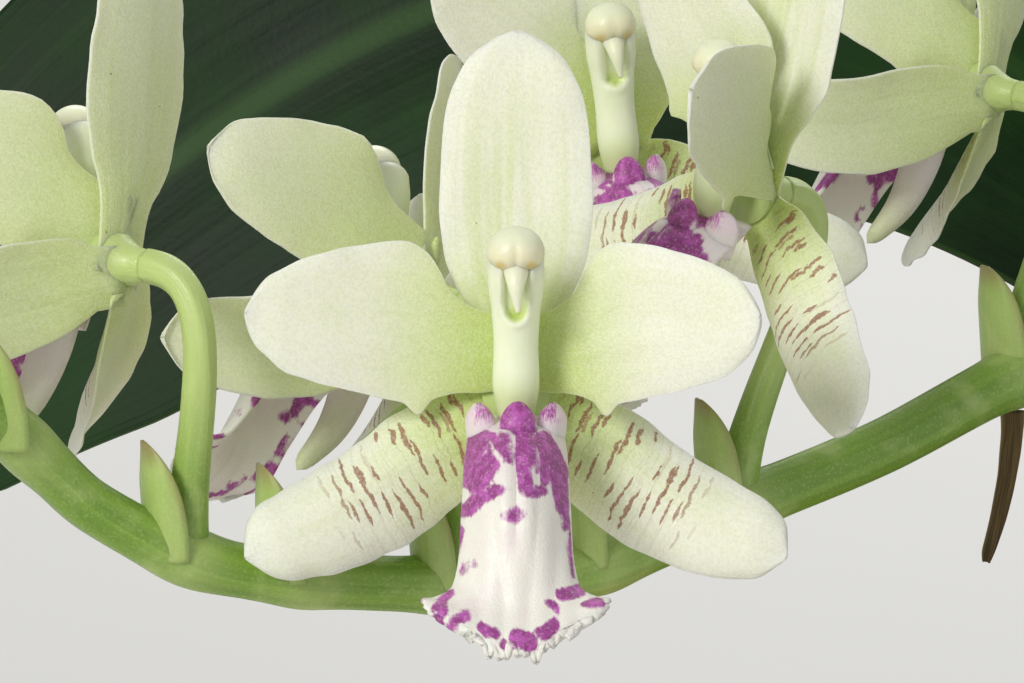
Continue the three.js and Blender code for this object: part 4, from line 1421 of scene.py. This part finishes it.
@dataclass(frozen=True)
class Raceme:
    """The flower stalk with its pedicels, bracts and buds, and the dry bract that hangs from it.

    Each size is rows along the part, and sides round it or columns across it.
    """

    path: Line = Line((
        (-3.6, -4.6, 96), (-7, -13, 107), (-15, -26, 116.5), (-23.5, -37, 120.5), (-31.2, -45.5, 120.1),
        (-39.8, -52, 116.9), (-48, -57.4, 114.5), (-55.3, -61.8, 112.3), (-60.6, -64.9, 111.8),
        (-65.8, -67.8, 112.3), (-70.9, -70.3, 113.1), (-75.9, -72.6, 114.4), (-80.7, -74.7, 117.3),
        (-83.1, -75.9, 119.7), (-85.4, -77.5, 122.4), (-89.8, -80.9, 127.4), (-95.1, -84.3, 131.5),
        (-99.7, -87.9, 134.6),
    ))
    radii: tuple[float, ...] = (2.1, 1.85, 1.7, 1.5, 1.45, 1.3, 1.0)
    pedicel_radii: tuple[float, ...] = (1.3, 0.98, 0.86, 0.82, 0.88)
    bract_length: float = 6.0
    bract_radius: float = 1.72
    bract_wrap: float = 84.0
    bud_length: float = 7.5
    bud_radius: float = 2.5
    buds: tuple[Bud, ...] = (
        Bud((-106, -86.5, 130.5), (-97.5, -86.3, 133.2), 1.0),
        Bud((-104.5, -95, 138), (-98.5, -87, 133.8), 0.85),
        Bud((-106.5, -90.5, 140.5), (-99.2, -87.6, 134.3), 0.7),
    )
    bud_profile: tuple[tuple[float, float], ...] = (
        (0, 0.02), (0.03, 0.45), (0.12, 0.7), (0.25, 0.85), (0.5, 1), (0.78, 0.85), (0.92, 0.55), (1, 0.06),
    )
    dry_bract_foot: tuple[float, float, float] = (-31.8, -45.4, 117.9)
    stalk_size: tuple[int, int] = (420, 28)
    pedicel_size: tuple[int, int] = (80, 24)
    bract_size: tuple[int, int] = (28, 18)
    bud_size: tuple[int, int] = (40, 36)
    dry_bract_size: tuple[int, int] = (50, 20)

    def build(self, looks: dict[str, bpy.types.Material]) -> None:
        """Makes the stalk, the buds and the dry bract.

        Args:
            looks: The finishes by name.
        """
        shell = Shell("raceme_stalk", [looks["stalk"]])
        rows, sides = self.stalk_size
        share = np.linspace(0, 1, rows)
        centres = self.path.along(share)
        swelling = self.node_swelling(centres)
        turn = np.linspace(0, 2 * math.pi, sides, endpoint=False)[None, :]
        wide = by_share(self.radii, share)[:, None] * (1 + 0.16 * swelling[:, None])
        wide = wide * (1 + 0.018 * np.cos(7 * turn)) * rounded(share, 0.985)[:, None]
        shell.tube(ring_tube(centres, wide, sides), np.stack([0.4 * swelling[:, None] + 0 * turn], -1))
        for flower in FLOWERS:
            self.pedicel(shell, flower)
            self.bract(shell, flower.node)
        for bud in self.buds:
            foot, seat = np.array(bud.node), np.array(bud.at, float)
            centres = foot + (seat - foot) * np.linspace(0, 0.97, 12)[:, None]
            shell.tube(ring_tube(centres, np.full(12, 0.9), 16))
        shell.piece("stalk", "flower_stalk")
        for i, bud in enumerate(self.buds):
            self.bud(bud, i, looks["bud"])
        self.dry_bract(looks["dry_bract"])

    def node_swelling(self, centres: Array) -> Array:
        """Gives how near each place of the stalk is to a node: a bell curve of the distance."""
        nodes = np.array([flower.node for flower in FLOWERS])
        distance = np.linalg.norm(centres[:, None] - nodes[None], axis=-1).min(axis=1)
        return np.exp(-((distance / 1.8) ** 2))

    def pedicel(self, shell: Shell, flower: Flower) -> None:
        """Adds a pedicel: a Bezier tube with six low ribs that make half a turn along it.

        Args:
            shell: Where it goes.
            flower: The flower that it carries.
        """
        foot = np.array(flower.node)
        seat = flower.seat.put(np.array([0, PEDICEL_SEAT, 0]))
        backwards = flower.seat.turn @ np.array([0, 1, 0])
        leaves = np.array(flower.leaves, float)
        span = np.linalg.norm(seat - foot)
        rows, sides = self.pedicel_size
        share = np.linspace(0, 1, rows)
        rise, bend = foot + leaves * PEDICEL_RISE * span, seat + backwards * PEDICEL_BEND * span
        centres = bezier(foot, rise, bend, seat, share)
        turn = turns(sides)[None, :]
        depth = 0.05 * smooth_step(share, 0.25, 0.7)[:, None]
        rib = 1 + depth * np.cos(6 * (turn + math.pi * share[:, None] / 2))
        wide = by_share(self.pedicel_radii, share)
        pale = smooth_step(share, 0.05, 0.7)[:, None] * 0.85 + 0 * turn
        shell.tube(ring_tube(centres, wide[:, None] * rib, sides), np.stack([pale], -1))

    def bract(self, shell: Shell, node: tuple[float, float, float]) -> None:
        """Adds a bract: a pointed sheath that wraps the foot of the pedicel, dry at its tip.

        Args:
            shell: Where it goes.
            node: Where the pedicel leaves the stalk.
        """
        rows, columns = self.bract_size
        u = (1 - (1 - np.linspace(0, 1, rows)) ** 1.3)[:, None]
        v = np.linspace(-1, 1, columns)[None, :]
        round_ = v * math.radians(self.bract_wrap) * np.sqrt(1 - 0.97 * u**2.2)
        radius = self.bract_radius + 0.4 * u
        away, reach = radius * np.cos(round_), radius * np.sin(round_)
        x, y = node[0] - 0.95 * away - 0.3 * reach, node[1] - 0.3 * away + 0.95 * reach
        points = joined(x, y, node[2] + u * self.bract_length)
        thickness = 0.6 * (0.3 + 0.7 * (1 - v**4)) * (0.35 + 0.65 * smooth_step(u, 1.0, 0.6))
        rim = 0.7 * smooth_step(np.abs(v), 0.8, 1.0) * smooth_step(u, 0.2, 0.5)
        dried = np.maximum(smooth_step(u, 0.75, 1.0), rim)
        shell.blade(points, thickness, np.stack([0.55 + 0 * dried, 0.8 * dried, 0 * dried], -1))

    def bud(self, bud: Bud, i: int, look: bpy.types.Material) -> None:
        """Makes a bud: a turned form with three shallow seams.

        Args:
            bud: Its place and size.
            i: Its number, from 0.
            look: Its finish.
        """
        ahead = unit(np.array(bud.at, float) - np.array(bud.node))
        turn = np.array(Vector((0, 0, 1)).rotation_difference(Vector(ahead)).to_matrix())
        shell = Shell(f"closed_bud_{i + 1}", [look], Seat(turn, np.array(bud.at, float)))
        rows, sides = self.bud_size
        share = np.linspace(0, 1, rows)
        angle = turns(sides)[None, :]
        profile = smooth_rows(np.array(self.bud_profile), share) * self.bud_radius * bud.size
        seam = 1 - 0.07 * np.exp(-((np.sin(1.5 * angle) / 0.22) ** 2))
        wide = profile[:, None] * seam
        height = (share * self.bud_length * bud.size)[:, None] + 0 * angle
        rings = np.stack([wide * np.cos(angle), wide * np.sin(angle), height], -1)
        shell.tube(rings, np.stack([0.6 * smooth_step(height, 2.0, 7.0)], -1))
        shell.piece("bud", f"bud_{i + 1}")

    def dry_bract(self, look: bpy.types.Material) -> None:
        """Makes the dry bract: a narrow blade that hangs and curls, with a crumpled rim."""
        shell = Shell("dried_bract", [look])
        x, y, z = self.dry_bract_foot
        u, v = (np.linspace(low, 1, count) for low, count in zip((0, -1), self.dry_bract_size))
        u, v = u[:, None], v[None, :]
        spots = joined(u * 8, v * 1.5, 0.0)
        crumple = 0.14 * ripple(spots, 2.4, 5) * (0.4 + np.abs(v))
        wide = 0.65 * (1 - 0.5 * u) * rounded(u, 0.9)
        points = joined(x - 1.4 * u * u + v * wide, y + 0.3 * v * v + crumple, z - 8.6 * u)
        shell.blade(points, 0.5 * (0.3 + 0.7 * (1 - v**2)) + 0 * u)
        shell.piece("dry_bract", "dry_bract")


# Leaves

LEAF_OUTLINE = np.array([
    (0, 0.24, 0.24), (0.1, 0.36, 0.36), (0.25, 0.78, 0.76), (0.45, 1, 0.97), (0.7, 0.98, 1),
    (0.85, 0.82, 0.86), (0.95, 0.5, 0.6), (1, 0.3, 0.38),
])


@dataclass(frozen=True)
class Leaf:
    """A strap leaf: its midrib, half-width, and its turns about the midrib in degrees, evenly spaced along it."""

    midrib: Line
    half_width: float
    turn: tuple[float, ...]
    thickness: float = 1.5
    keel: float = 0.22
    size: tuple[int, int] = (110, 30)

    def build(self, number: int, look: bpy.types.Material) -> None:
        """Makes the leaf.

        A point is midrib + reach * across + lift * facing. Across is level at a turn of 0, and lift grows with
        the reach, so the blade is a shallow channel with waved edges and a rib along its middle.

        Args:
            number: Which leaf it is.
            look: Its finish.
        """
        rows, columns = self.size
        u = 1 - (1 - np.linspace(0, 1, rows)) ** 1.25
        v = (np.sin(np.linspace(-0.5, 0.5, columns) * math.pi * 0.9) / math.sin(0.45 * math.pi))[None, :]
        centres = self.midrib.along(u)
        before, after = (self.midrib.along(np.clip(u + step, 0, 1)) for step in (-0.004, 0.004))
        ahead = unit(after - before)
        level = unit(np.cross([0, 0, 1], ahead))
        up = np.cross(ahead, level)
        turn = np.radians(np.interp(u, np.linspace(0, 1, len(self.turn)), self.turn))[:, None]
        across = level * np.cos(turn) + up * np.sin(turn)
        facing = np.cross(ahead, across)
        narrow = rounded(u, 0.95)
        upper, lower = smooth_rows(LEAF_OUTLINE, u, 1) * narrow, smooth_rows(LEAF_OUTLINE, u, 2) * narrow
        reach = v * self.half_width * np.where(v > 0, upper[:, None], lower[:, None])
        lift = self.keel * np.abs(reach) * (1 - 0.5 * np.abs(v))
        spots = joined(u[:, None] * 100, reach, 0.0)
        lift = lift + 0.7 * ripple(spots, 34.0, number) * np.abs(v) ** 2 * smooth_step(u, 0.1, 0.35)[:, None]
        points = centres[:, None] + reach[..., None] * across[:, None] + lift[..., None] * facing[:, None]
        rib = 0.7 * np.exp(-((reach / 1.4) ** 2)) * smooth_step(u, 1.0, 0.6)[:, None]
        thickness = self.thickness * (0.35 + 0.65 * (1 - np.abs(v) ** 3)) + rib
        thickness = thickness * (0.4 + 0.6 * smooth_step(u, 1.0, 0.94))[:, None]
        shell = Shell(f"strap_leaf_{number}", [look])
        shell.blade(points, thickness)
        shell.piece("leaf", f"leaf_{number}")


LEAVES = (
    Leaf(
        Line(((-4.9, 1, 94), (-14, 4, 117), (-29, 6, 134), (-45, 7, 140), (-62, 7, 137.5), (-78, 7, 129.5),
              (-92, 6, 118), (-103, 5, 105))),
        17, (0, -35, -62, -66, -66, -62),
    ),
    Leaf(
        Line(((-5.7, -1.1, 86), (-18, -4, 89.5), (-36, -9, 90), (-52, -13, 88.8), (-66, -16, 81),
              (-77, -18, 69), (-83, -19, 56))),
        13.5, (0, 8, 9, 6),
    ),
    Leaf(Line(((-4.5, 0, 100.5), (-8, 2, 119), (-15, 5, 139), (-21, 8, 157))), 9.5, (0, 12, 20)),
    Leaf(
        Line(((5, 0, 89), (20, -2, 98), (43, -4, 98.5), (64, -5, 90), (82, -6, 75), (94, -6, 57))),
        15.5, (0, -6, -10, -4),
    ),
    Leaf(
        Line(((4.6, 1, 95), (19, 3, 113), (41, 5, 123), (65, 6, 121), (88, 7, 109), (104, 7, 93))),
        16, (0, 10, 18, 22),
    ),
    Leaf(
        Line(((4.1, -1, 100), (12, -2, 120), (26, -4, 139), (43, -6, 150), (60, -8, 152))), 13, (0, -8, -14)
    ),
    Leaf(
        Line(((4.6, -2.6, 84), (18, -11, 90), (34, -20, 91.5), (50, -29, 88), (62, -36, 78), (68, -40, 66))),
        12.5, (0, -4, -4),
    ),
)


# Stem and roots


@dataclass(frozen=True)
class Root:
    """A thick root: its line and its radius."""

    path: Line
    radius: float


@dataclass(frozen=True)
class RootStock:
    """The short stem with its aerial roots, grown as one piece.

    A root ends free of the medium where its tip is higher than free_height, or further than free_reach from the
    middle along Y. Each size is rows along the part and sides round it.
    """

    stem: Line = Line(((0, 0, 63), (0, 0, 78), (0, 0, 92), (0, 0, 103)))
    stem_radii: tuple[float, ...] = (4.2, 5, 4.2, 2.4)
    stem_size: tuple[int, int] = (120, 36)
    root_size: tuple[int, int] = (170, 24)
    free_height: float = 75
    free_reach: float = 50
    taper: tuple[float, ...] = (1.05, 1, 1, 0.95, 0.9, 0.75, 0.3)
    roots: tuple[Root, ...] = (
        Root(Line(((0, 0, 80), (8, 9, 83), (18, 19, 80), (25, 26, 70), (27, 29, 60))), 2.4),
        Root(Line(((0, 0, 79), (-10, 10, 82.5), (-21, 19, 79.5), (-28, 25, 68), (-29, 27, 58))), 2.2),
        Root(Line(((0, 0, 78), (2, -10, 82), (3, -22, 81), (2, -31, 71), (1, -34, 60))), 2.3),
        Root(Line(((0, 0, 81), (-9, -8, 84.5), (-21, -17, 83), (-30, -23, 74), (-33, -25, 62))), 2.1),
        Root(
            Line(((0, 0, 82), (1, 14, 88), (2, 32, 90.5), (1, 48, 90.5), (-1, 59, 84), (-2, 62, 70), (0, 61, 56))),
            2,
        ),
        Root(
            Line(((0, 0, 82), (-5, -13, 88), (-12, -30, 91), (-17, -45, 91), (-20, -55, 84), (-20, -58, 70))),
            1.9,
        ),
    )

    def build(self, look: bpy.types.Material) -> None:
        """Makes the piece: a ringed stem and roots whose radius wanders a little, with rounded tips.

        Args:
            look: Its finish.
        """
        shell = Shell("stem_and_roots", [look])
        rows, sides = self.stem_size
        share = np.linspace(0, 1, rows)
        scars = 1 + 0.05 * np.cos(share * 2 * math.pi * 9) ** 3
        wide = by_share(self.stem_radii, share) * scars
        brown = joined(0.0, smooth_step(share, 0.9, 0.3)[:, None] + np.zeros((rows, sides)), 0.0, 0.0)
        shell.tube(ring_tube(self.stem.along(share), wide, sides), brown)
        rows, sides = self.root_size
        share = np.linspace(0, 1, rows)
        for i, root in enumerate(self.roots):
            centres = root.path.along(share)
            taper = by_share(self.taper, share)
            rings = ring_tube(centres, root.radius * taper, sides)
            wander = 1 + 0.05 * ripple(rings, 7.0, 20 + i) + 0.03 * ripple(rings, 2.0, 30 + i)
            wide = root.radius * taper[:, None] * wander * rounded(share, 0.97)[:, None]
            _, y, z = root.path.points[-1]
            free = z > self.free_height or abs(y) > self.free_reach
            growing = smooth_step(share, 0.88, 0.97)[:, None] * (1.0 if free else 0.0)
            buried = smooth_step(centres[:, 2], 80, 73)[:, None] * (0.0 if free else 1.0)
            paint = joined(growing + np.zeros((rows, sides)), buried)
            shell.tube(ring_tube(centres, wide, sides), paint)
        shell.piece("velamen", "stem_with_roots")


# Pot and medium


@dataclass(frozen=True)
class Pot:
    """A turned clay pot with a rolled rim and four drainage holes."""

    height: float = 82
    foot_radius: float = 36
    rim_radius: float = 52
    rim_height: float = 16
    rim_overhang: float = 3.5
    wall: float = 5
    floor: float = 7
    drain_radius: float = 4
    drain_ring: float = 20
    foot_recess: float = 0.5
    sides: int = 144
    hole_sides: int = 48
    section_steps: int = 60

    def profile(self) -> Array:
        """Gives the wall's section as rows of radius and height, from the foot outside to the floor inside."""
        foot, rim, tall, wall = self.foot_radius, self.rim_radius, self.height, self.wall
        shoulder, neck, inner = tall - self.rim_height, rim - self.rim_overhang, rim - wall
        return np.array([
            (foot - 6, 0.3), (foot - 5.6, 0), (foot - 1, 0), (foot - 0.3, 0.3), (foot, 1), (foot + 0.25, 2.2),
            (neck - 0.25, shoulder - 1.2), (neck, shoulder - 0.1), (neck + 0.3, shoulder), (rim - 1, shoulder),
            (rim - 0.3, shoulder + 0.3), (rim, shoulder + 1), (rim, shoulder + 6), (rim, tall - 3),
            (rim - 0.2, tall - 1), (rim - 1, tall - 0.2), (rim - 2.5, tall), (inner + 1.2, tall - 0.1),
            (inner + 0.3, tall - 0.6), (inner, tall - 1.4), (inner, tall - 6), (neck - wall + 2, shoulder),
            (neck - wall + 1.8, shoulder - 2), (foot - wall + 1, self.floor), (foot - 6, self.floor),
        ])

    def build(self, look: bpy.types.Material) -> None:
        """Makes the pot: its section carried round the axis, and a floor plate of four holed quarters.

        Args:
            look: Its finish.
        """
        shell = Shell("clay_pot", [look])
        section = self.profile()
        gone = np.concatenate([[0], np.cumsum(np.linalg.norm(np.diff(section, axis=0), axis=1))])
        spread = np.unique(np.concatenate([gone, np.linspace(0, gone[-1], self.section_steps)]))
        radius, height = (np.interp(spread, gone, section[:, k]) for k in range(2))
        rings = revolved(radius, height, self.sides)
        uneven = 0.22 * ripple(rings, 46.0, 3) * smooth_step(rings[..., 2], 0.5, 6.0)
        rings[..., :2] *= (1 + uneven / np.maximum(radius, 1)[:, None])[..., None]
        self.add_ring(shell, rings)
        for quarter in range(4):
            self.floor_quarter(shell, quarter)
        shell.piece("terracotta", "pot")

    def add_ring(self, shell: Shell, rings: Array) -> None:
        """Adds a surface that is closed both round the axis and round its section.

        Args:
            shell: Where it goes.
            rings: Rings from row to row of the section.
        """
        rows, sides = rings.shape[:2]
        number = np.arange(rows * sides).reshape(rows, sides)
        up, ahead = np.roll(number, -1, axis=0), np.roll(number, -1, axis=1)
        quad = np.stack([number, ahead, np.roll(up, -1, axis=1), up], -1).reshape(-1, 4)
        shell.add(rings.reshape(-1, 3), [(quad, np.zeros((len(quad), 4, 2)))], None, 0)

    def floor_quarter(self, shell: Shell, quarter: int) -> None:
        """Adds a quarter of the floor plate round its drainage hole.

        Each ray from the hole's centre runs from the hole's edge to the quarter's border, which is the nearest
        of its two straight sides and its arc.

        Args:
            shell: Where it goes.
            quarter: Which quarter, from 0.
        """
        sides = self.hole_sides
        bearing = (quarter + 0.5) * math.pi / 2
        centre = self.drain_ring * np.array([math.cos(bearing), math.sin(bearing)])
        turn = turns(sides) + bearing
        way = np.stack([np.cos(turn), np.sin(turn)], -1)
        outer = self.foot_radius - 4
        along = way @ centre
        to_arc = -along + np.sqrt(along**2 + outer**2 - centre @ centre)
        beside = (bearing + 3 * math.pi / 4, bearing - 3 * math.pi / 4)
        borders = [np.array([math.cos(b), math.sin(b)]) for b in beside]
        to_side = [np.where(way @ b > 1e-9, -(centre @ b) / np.maximum(way @ b, 1e-9), 1e9) for b in borders]
        far = np.minimum(to_arc, np.minimum(*to_side))
        low, high = self.foot_recess, self.floor
        section = [(self.drain_radius, low), (far, low), (far, high), (self.drain_radius, high)]
        rings = np.stack([
            np.column_stack([centre + way * np.broadcast_to(r, sides)[:, None], np.full(sides, z)])
            for r, z in section
        ])
        self.add_ring(shell, rings)


@dataclass(frozen=True)
class Medium:
    """The bark: a plug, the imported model's large chips, many smaller ones between them, and a little moss.

    The seeds are those of the large chips, of the small ones and of the moss.
    """

    top: float = 72
    chips: int = 14
    ring_radius: float = 36
    small_chips: int = 300
    inner_radius: float = 44.5
    sides: int = 72
    tufts_a_cushion: int = 150
    seeds: tuple[int, int, int] = (7, 11, 23)
    moss_tufts: tuple[tuple[float, float, float], ...] = (
        (9, -8, 9), (-12, -3, 7), (20, 4, 8), (-6, 17, 8), (30, -16, 7)
    )

    def build(self, looks: dict[str, bpy.types.Material]) -> None:
        """Makes the medium and its moss.

        Args:
            looks: The finishes by name.
        """
        shell = Shell("bark_chips", [looks["bark"]])
        section = np.array(
            [(31.3, 7.35), (44.9, 66), (44.9, self.top - 1.6), (40, self.top - 1), (20, self.top - 0.4)]
        )
        rings = revolved(section[:, 0], section[:, 1], self.sides)
        poles = np.array([[0, 0, 7.35], [0, 0, self.top - 0.3]])
        shell.tube(rings, np.ones((len(section), self.sides, 1)), poles=poles)
        stream = Repeatable(self.seeds[0])
        for i in range(self.chips):
            self.large_chip(shell, stream, i)
        random = np.random.default_rng(self.seeds[1])
        for i in range(self.small_chips):
            distance = self.inner_radius * math.sqrt((i + 0.5) / self.small_chips)
            bearing = i * GOLDEN_ANGLE + random.uniform(-0.3, 0.3)
            size = np.array([random.uniform(4, 10), random.uniform(3, 7), random.uniform(2, 4.5)]) / 2
            distance = min(distance, self.inner_radius + 0.8 - size.max())
            height = self.top + random.uniform(-1.2, 1.6)
            at = np.array([distance * math.cos(bearing), distance * math.sin(bearing), height])
            turn = Matrix.Rotation(random.uniform(0, 6.3), 3, "Z")
            tilt = Matrix.Rotation(random.uniform(-0.6, 0.6), 3, "X")
            self.nugget(shell, size, np.array(turn @ tilt), at, 100 + i, random.uniform(0, 1))
        shell.piece("bark", "potting_medium")
        self.moss(looks["moss"])

    def large_chip(self, shell: Shell, stream: Repeatable, i: int) -> None:
        """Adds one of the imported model's chips, with its own size, tilt and place.

        Args:
            shell: Where it goes.
            stream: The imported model's stream of random numbers.
            i: Which chip.
        """
        size = [13 + 7 * stream.next(), 9 + 4 * stream.next(), 4 + 2 * stream.next()]
        distance = self.ring_radius * math.sqrt((i + 0.5) / self.chips)
        bearing = i * math.radians(137.5) + 0.4 * stream.next()
        tilts = [math.radians(50 * (stream.next() - 0.5)) for _ in range(2)]
        turn = Matrix.Rotation(tilts[1], 3, "Y") @ Matrix.Rotation(tilts[0], 3, "X")
        turn = Matrix.Rotation(2 * math.pi * stream.next(), 3, "Z") @ turn
        height = self.top + 1.4 * stream.next()
        at = np.array([distance * math.cos(bearing), distance * math.sin(bearing), height])
        self.nugget(shell, np.array(size) / 2, np.array(turn), at, i, stream.state % 97 / 97, (12, 18))

    def nugget(
        self, shell: Shell, half: Array, turn: Array, at: Array, seed: int, tone: float,
        size: tuple[int, int] = (5, 8),
    ) -> None:
        """Adds a chip: a ball pushed out towards a box, with uneven faces.

        Args:
            shell: Where it goes.
            half: Half its size along each side.
            turn: Its rotation.
            at: Its place.
            seed: Which random unevenness.
            tone: How dark it is, from 0 to 1.
            size: Rings and sides.
        """
        orb = ball(*size)
        boxed = np.sign(orb) * np.abs(orb) ** 0.55
        boxed = boxed / np.maximum(np.abs(boxed).max(axis=-1, keepdims=True), 0.55) ** 0.4
        uneven = 1 + 0.14 * ripple(orb, 1.1, seed)
        rings = (boxed * uneven[..., None] * half * 0.96) @ turn.T + at
        paint = np.stack([np.full(orb.shape[:2], tone), boxed[..., 2] * 0.5 + 0.5], -1)
        shell.tube(rings, paint)

    def moss(self, look: bpy.types.Material) -> None:
        """Makes the moss: low cushions set with small upright tufts of a few faces each."""
        shell = Shell("moss_cushions", [look])
        random = np.random.default_rng(self.seeds[2])
        tint = np.linspace(0.2, 1, 3)[:, None, None] + np.zeros((3, 4, 1))
        for i, (x, y, radius) in enumerate(self.moss_tufts):
            orb = ball(9, 20)
            lumps = 1 + 0.2 * ripple(orb, 0.9, i)
            rings = orb * lumps[..., None] * [radius * 0.62, radius * 0.5, 2.0] + [x, y, self.top + 1.9]
            shell.tube(rings, np.clip(orb[..., 2:], 0, 1))
            for _ in range(self.tufts_a_cushion):
                away, bearing = math.sqrt(random.uniform(0, 0.96)), random.uniform(0, 2 * math.pi)
                east = x + radius * 0.6 * away * math.cos(bearing)
                north = y + radius * 0.48 * away * math.sin(bearing)
                rise = self.top + 1.5 + 2.2 * math.sqrt(1 - away * away)
                lean = random.normal(0, 0.45, 2)
                foot = np.array([east, north, rise - 0.4])
                tip = np.array([east + lean[0], north + lean[1], rise + random.uniform(0.9, 1.7)])
                centres = foot + np.linspace(0, 1, 3)[:, None] * (tip - foot)
                shell.tube(ring_tube(centres, np.array([0.14, 0.2, 0.03]), 4), tint)
        shell.piece("bark")


# Studio


@dataclass(frozen=True)
class Softbox:
    """A square area light."""

    name: str
    at: tuple[float, float, float]
    aim: tuple[float, float, float]
    size: float
    power: float
    warmth: tuple[float, float, float] = (1.0, 1.0, 1.0)


@dataclass(frozen=True)
class Studio:
    """A pale floor that meets an even pale surround, soft lights, and the camera at the photograph's angle."""

    eye: tuple[float, float, float] = (-60.0, -315.64, 159.82)
    elevation: float = 8.0
    frame_width: float = 51.2
    distance: float = 243.0
    floor_radius: float = 9.0
    floor_height: float = -0.0003
    floor_sides: int = 96
    boxes: tuple[Softbox, ...] = (
        Softbox("key", (-0.495, -0.627, 0.496), (-0.06, -0.07, 0.12), 0.26, 4.3, (1.0, 0.985, 0.955)),
        Softbox("fill", (0.8, -0.65, 0.35), (-0.03, -0.03, 0.1), 0.8, 1.0, (0.96, 0.98, 1.0)),
        Softbox("back", (0.45, 0.7, 0.8), (-0.03, 0.0, 0.1), 0.5, 2.2),
        Softbox("wash", (0.0, 1.7, 1.5), (0.0, 1.5, 0.0), 1.2, 20.0),
    )

    def build(self, look: bpy.types.Material) -> None:
        """Sets the stage.

        Args:
            look: The floor's finish.
        """
        scene = bpy.context.scene
        scene.view_settings.view_transform = "Standard"
        world = bpy.data.worlds.new("surround")
        world.use_nodes = True
        world.node_tree.nodes["Background"].inputs["Color"].default_value = (0.86, 0.87, 0.88, 1.0)
        world.node_tree.nodes["Background"].inputs["Strength"].default_value = 0.4
        scene.world = world
        self.floor(look)
        for box in self.boxes:
            self.light(box)
        self.camera()

    def floor(self, look: bpy.types.Material) -> None:
        """Makes the floor, a disc just under the pot."""
        rim = revolved(np.array([self.floor_radius]), np.array([self.floor_height]), self.floor_sides)[0]
        mesh = bpy.data.meshes.new("floor")
        mesh.from_pydata(rim.tolist(), [], [list(range(self.floor_sides))])
        mesh.materials.append(look)
        plate = bpy.data.objects.new("floor", mesh)
        bpy.context.scene.collection.objects.link(plate)

    def light(self, box: Softbox) -> None:
        """Adds one softbox that faces its aim."""
        lamp = bpy.data.lights.new(box.name, "AREA")
        lamp.shape, lamp.size, lamp.energy, lamp.color = "SQUARE", box.size, box.power, box.warmth
        made = bpy.data.objects.new(box.name, lamp)
        made.location = box.at
        made.rotation_euler = (Vector(box.aim) - Vector(box.at)).to_track_quat("-Z", "Y").to_euler()
        bpy.context.scene.collection.objects.link(made)

    def camera(self) -> None:
        """Adds the camera: a long lens that looks a little down along +Y at the main flower."""
        lens = bpy.data.cameras.new("camera")
        lens.sensor_width = 36.0
        lens.lens = lens.sensor_width * self.distance / self.frame_width
        lens.clip_start, lens.clip_end = 0.01, 50.0
        made = bpy.data.objects.new("camera", lens)
        made.location = [c * MM for c in self.eye]
        made.rotation_euler = (math.radians(90 - self.elevation), 0, 0)
        bpy.context.scene.collection.objects.link(made)
        bpy.context.scene.camera = made


def finishes() -> dict[str, bpy.types.Material]:
    """Builds every finish once.

    Returns:
        The materials by name.
    """
    made = {f"tepal_{kind.value}": TepalFinish(kind).material() for kind in TepalKind}
    made.update(
        column=ColumnFinish().material(),
        lip=LipFinish().material(),
        stalk=StemFinish().material(),
        bud=StemFinish("bud", srgb(178, 194, 116), srgb(150, 172, 84), srgb(226, 230, 190)).material(),
        leaf=LeafFinish().material(),
        velamen=RootFinish().material(),
        bark=BarkFinish().material(),
        moss=MossFinish().material(),
        terracotta=ClayFinish().material(),
        dry_bract=PaperFinish().material(),
        floor=FloorFinish().material(),
    )
    return made


def main() -> None:
    """Builds the plant piece by piece, then the studio round it."""
    logging.basicConfig(level=logging.INFO, format="%(message)s")
    looks = finishes()
    Studio().build(looks["floor"])
    Pot().build(looks["terracotta"])
    Medium().build(looks)
    RootStock().build(looks["velamen"])
    for number, leaf in enumerate(LEAVES, start=1):
        leaf.build(number, looks["leaf"])
    Raceme().build(looks)
    for flower in FLOWERS:
        flower.build(looks)


if __name__ == "__main__":
    main()
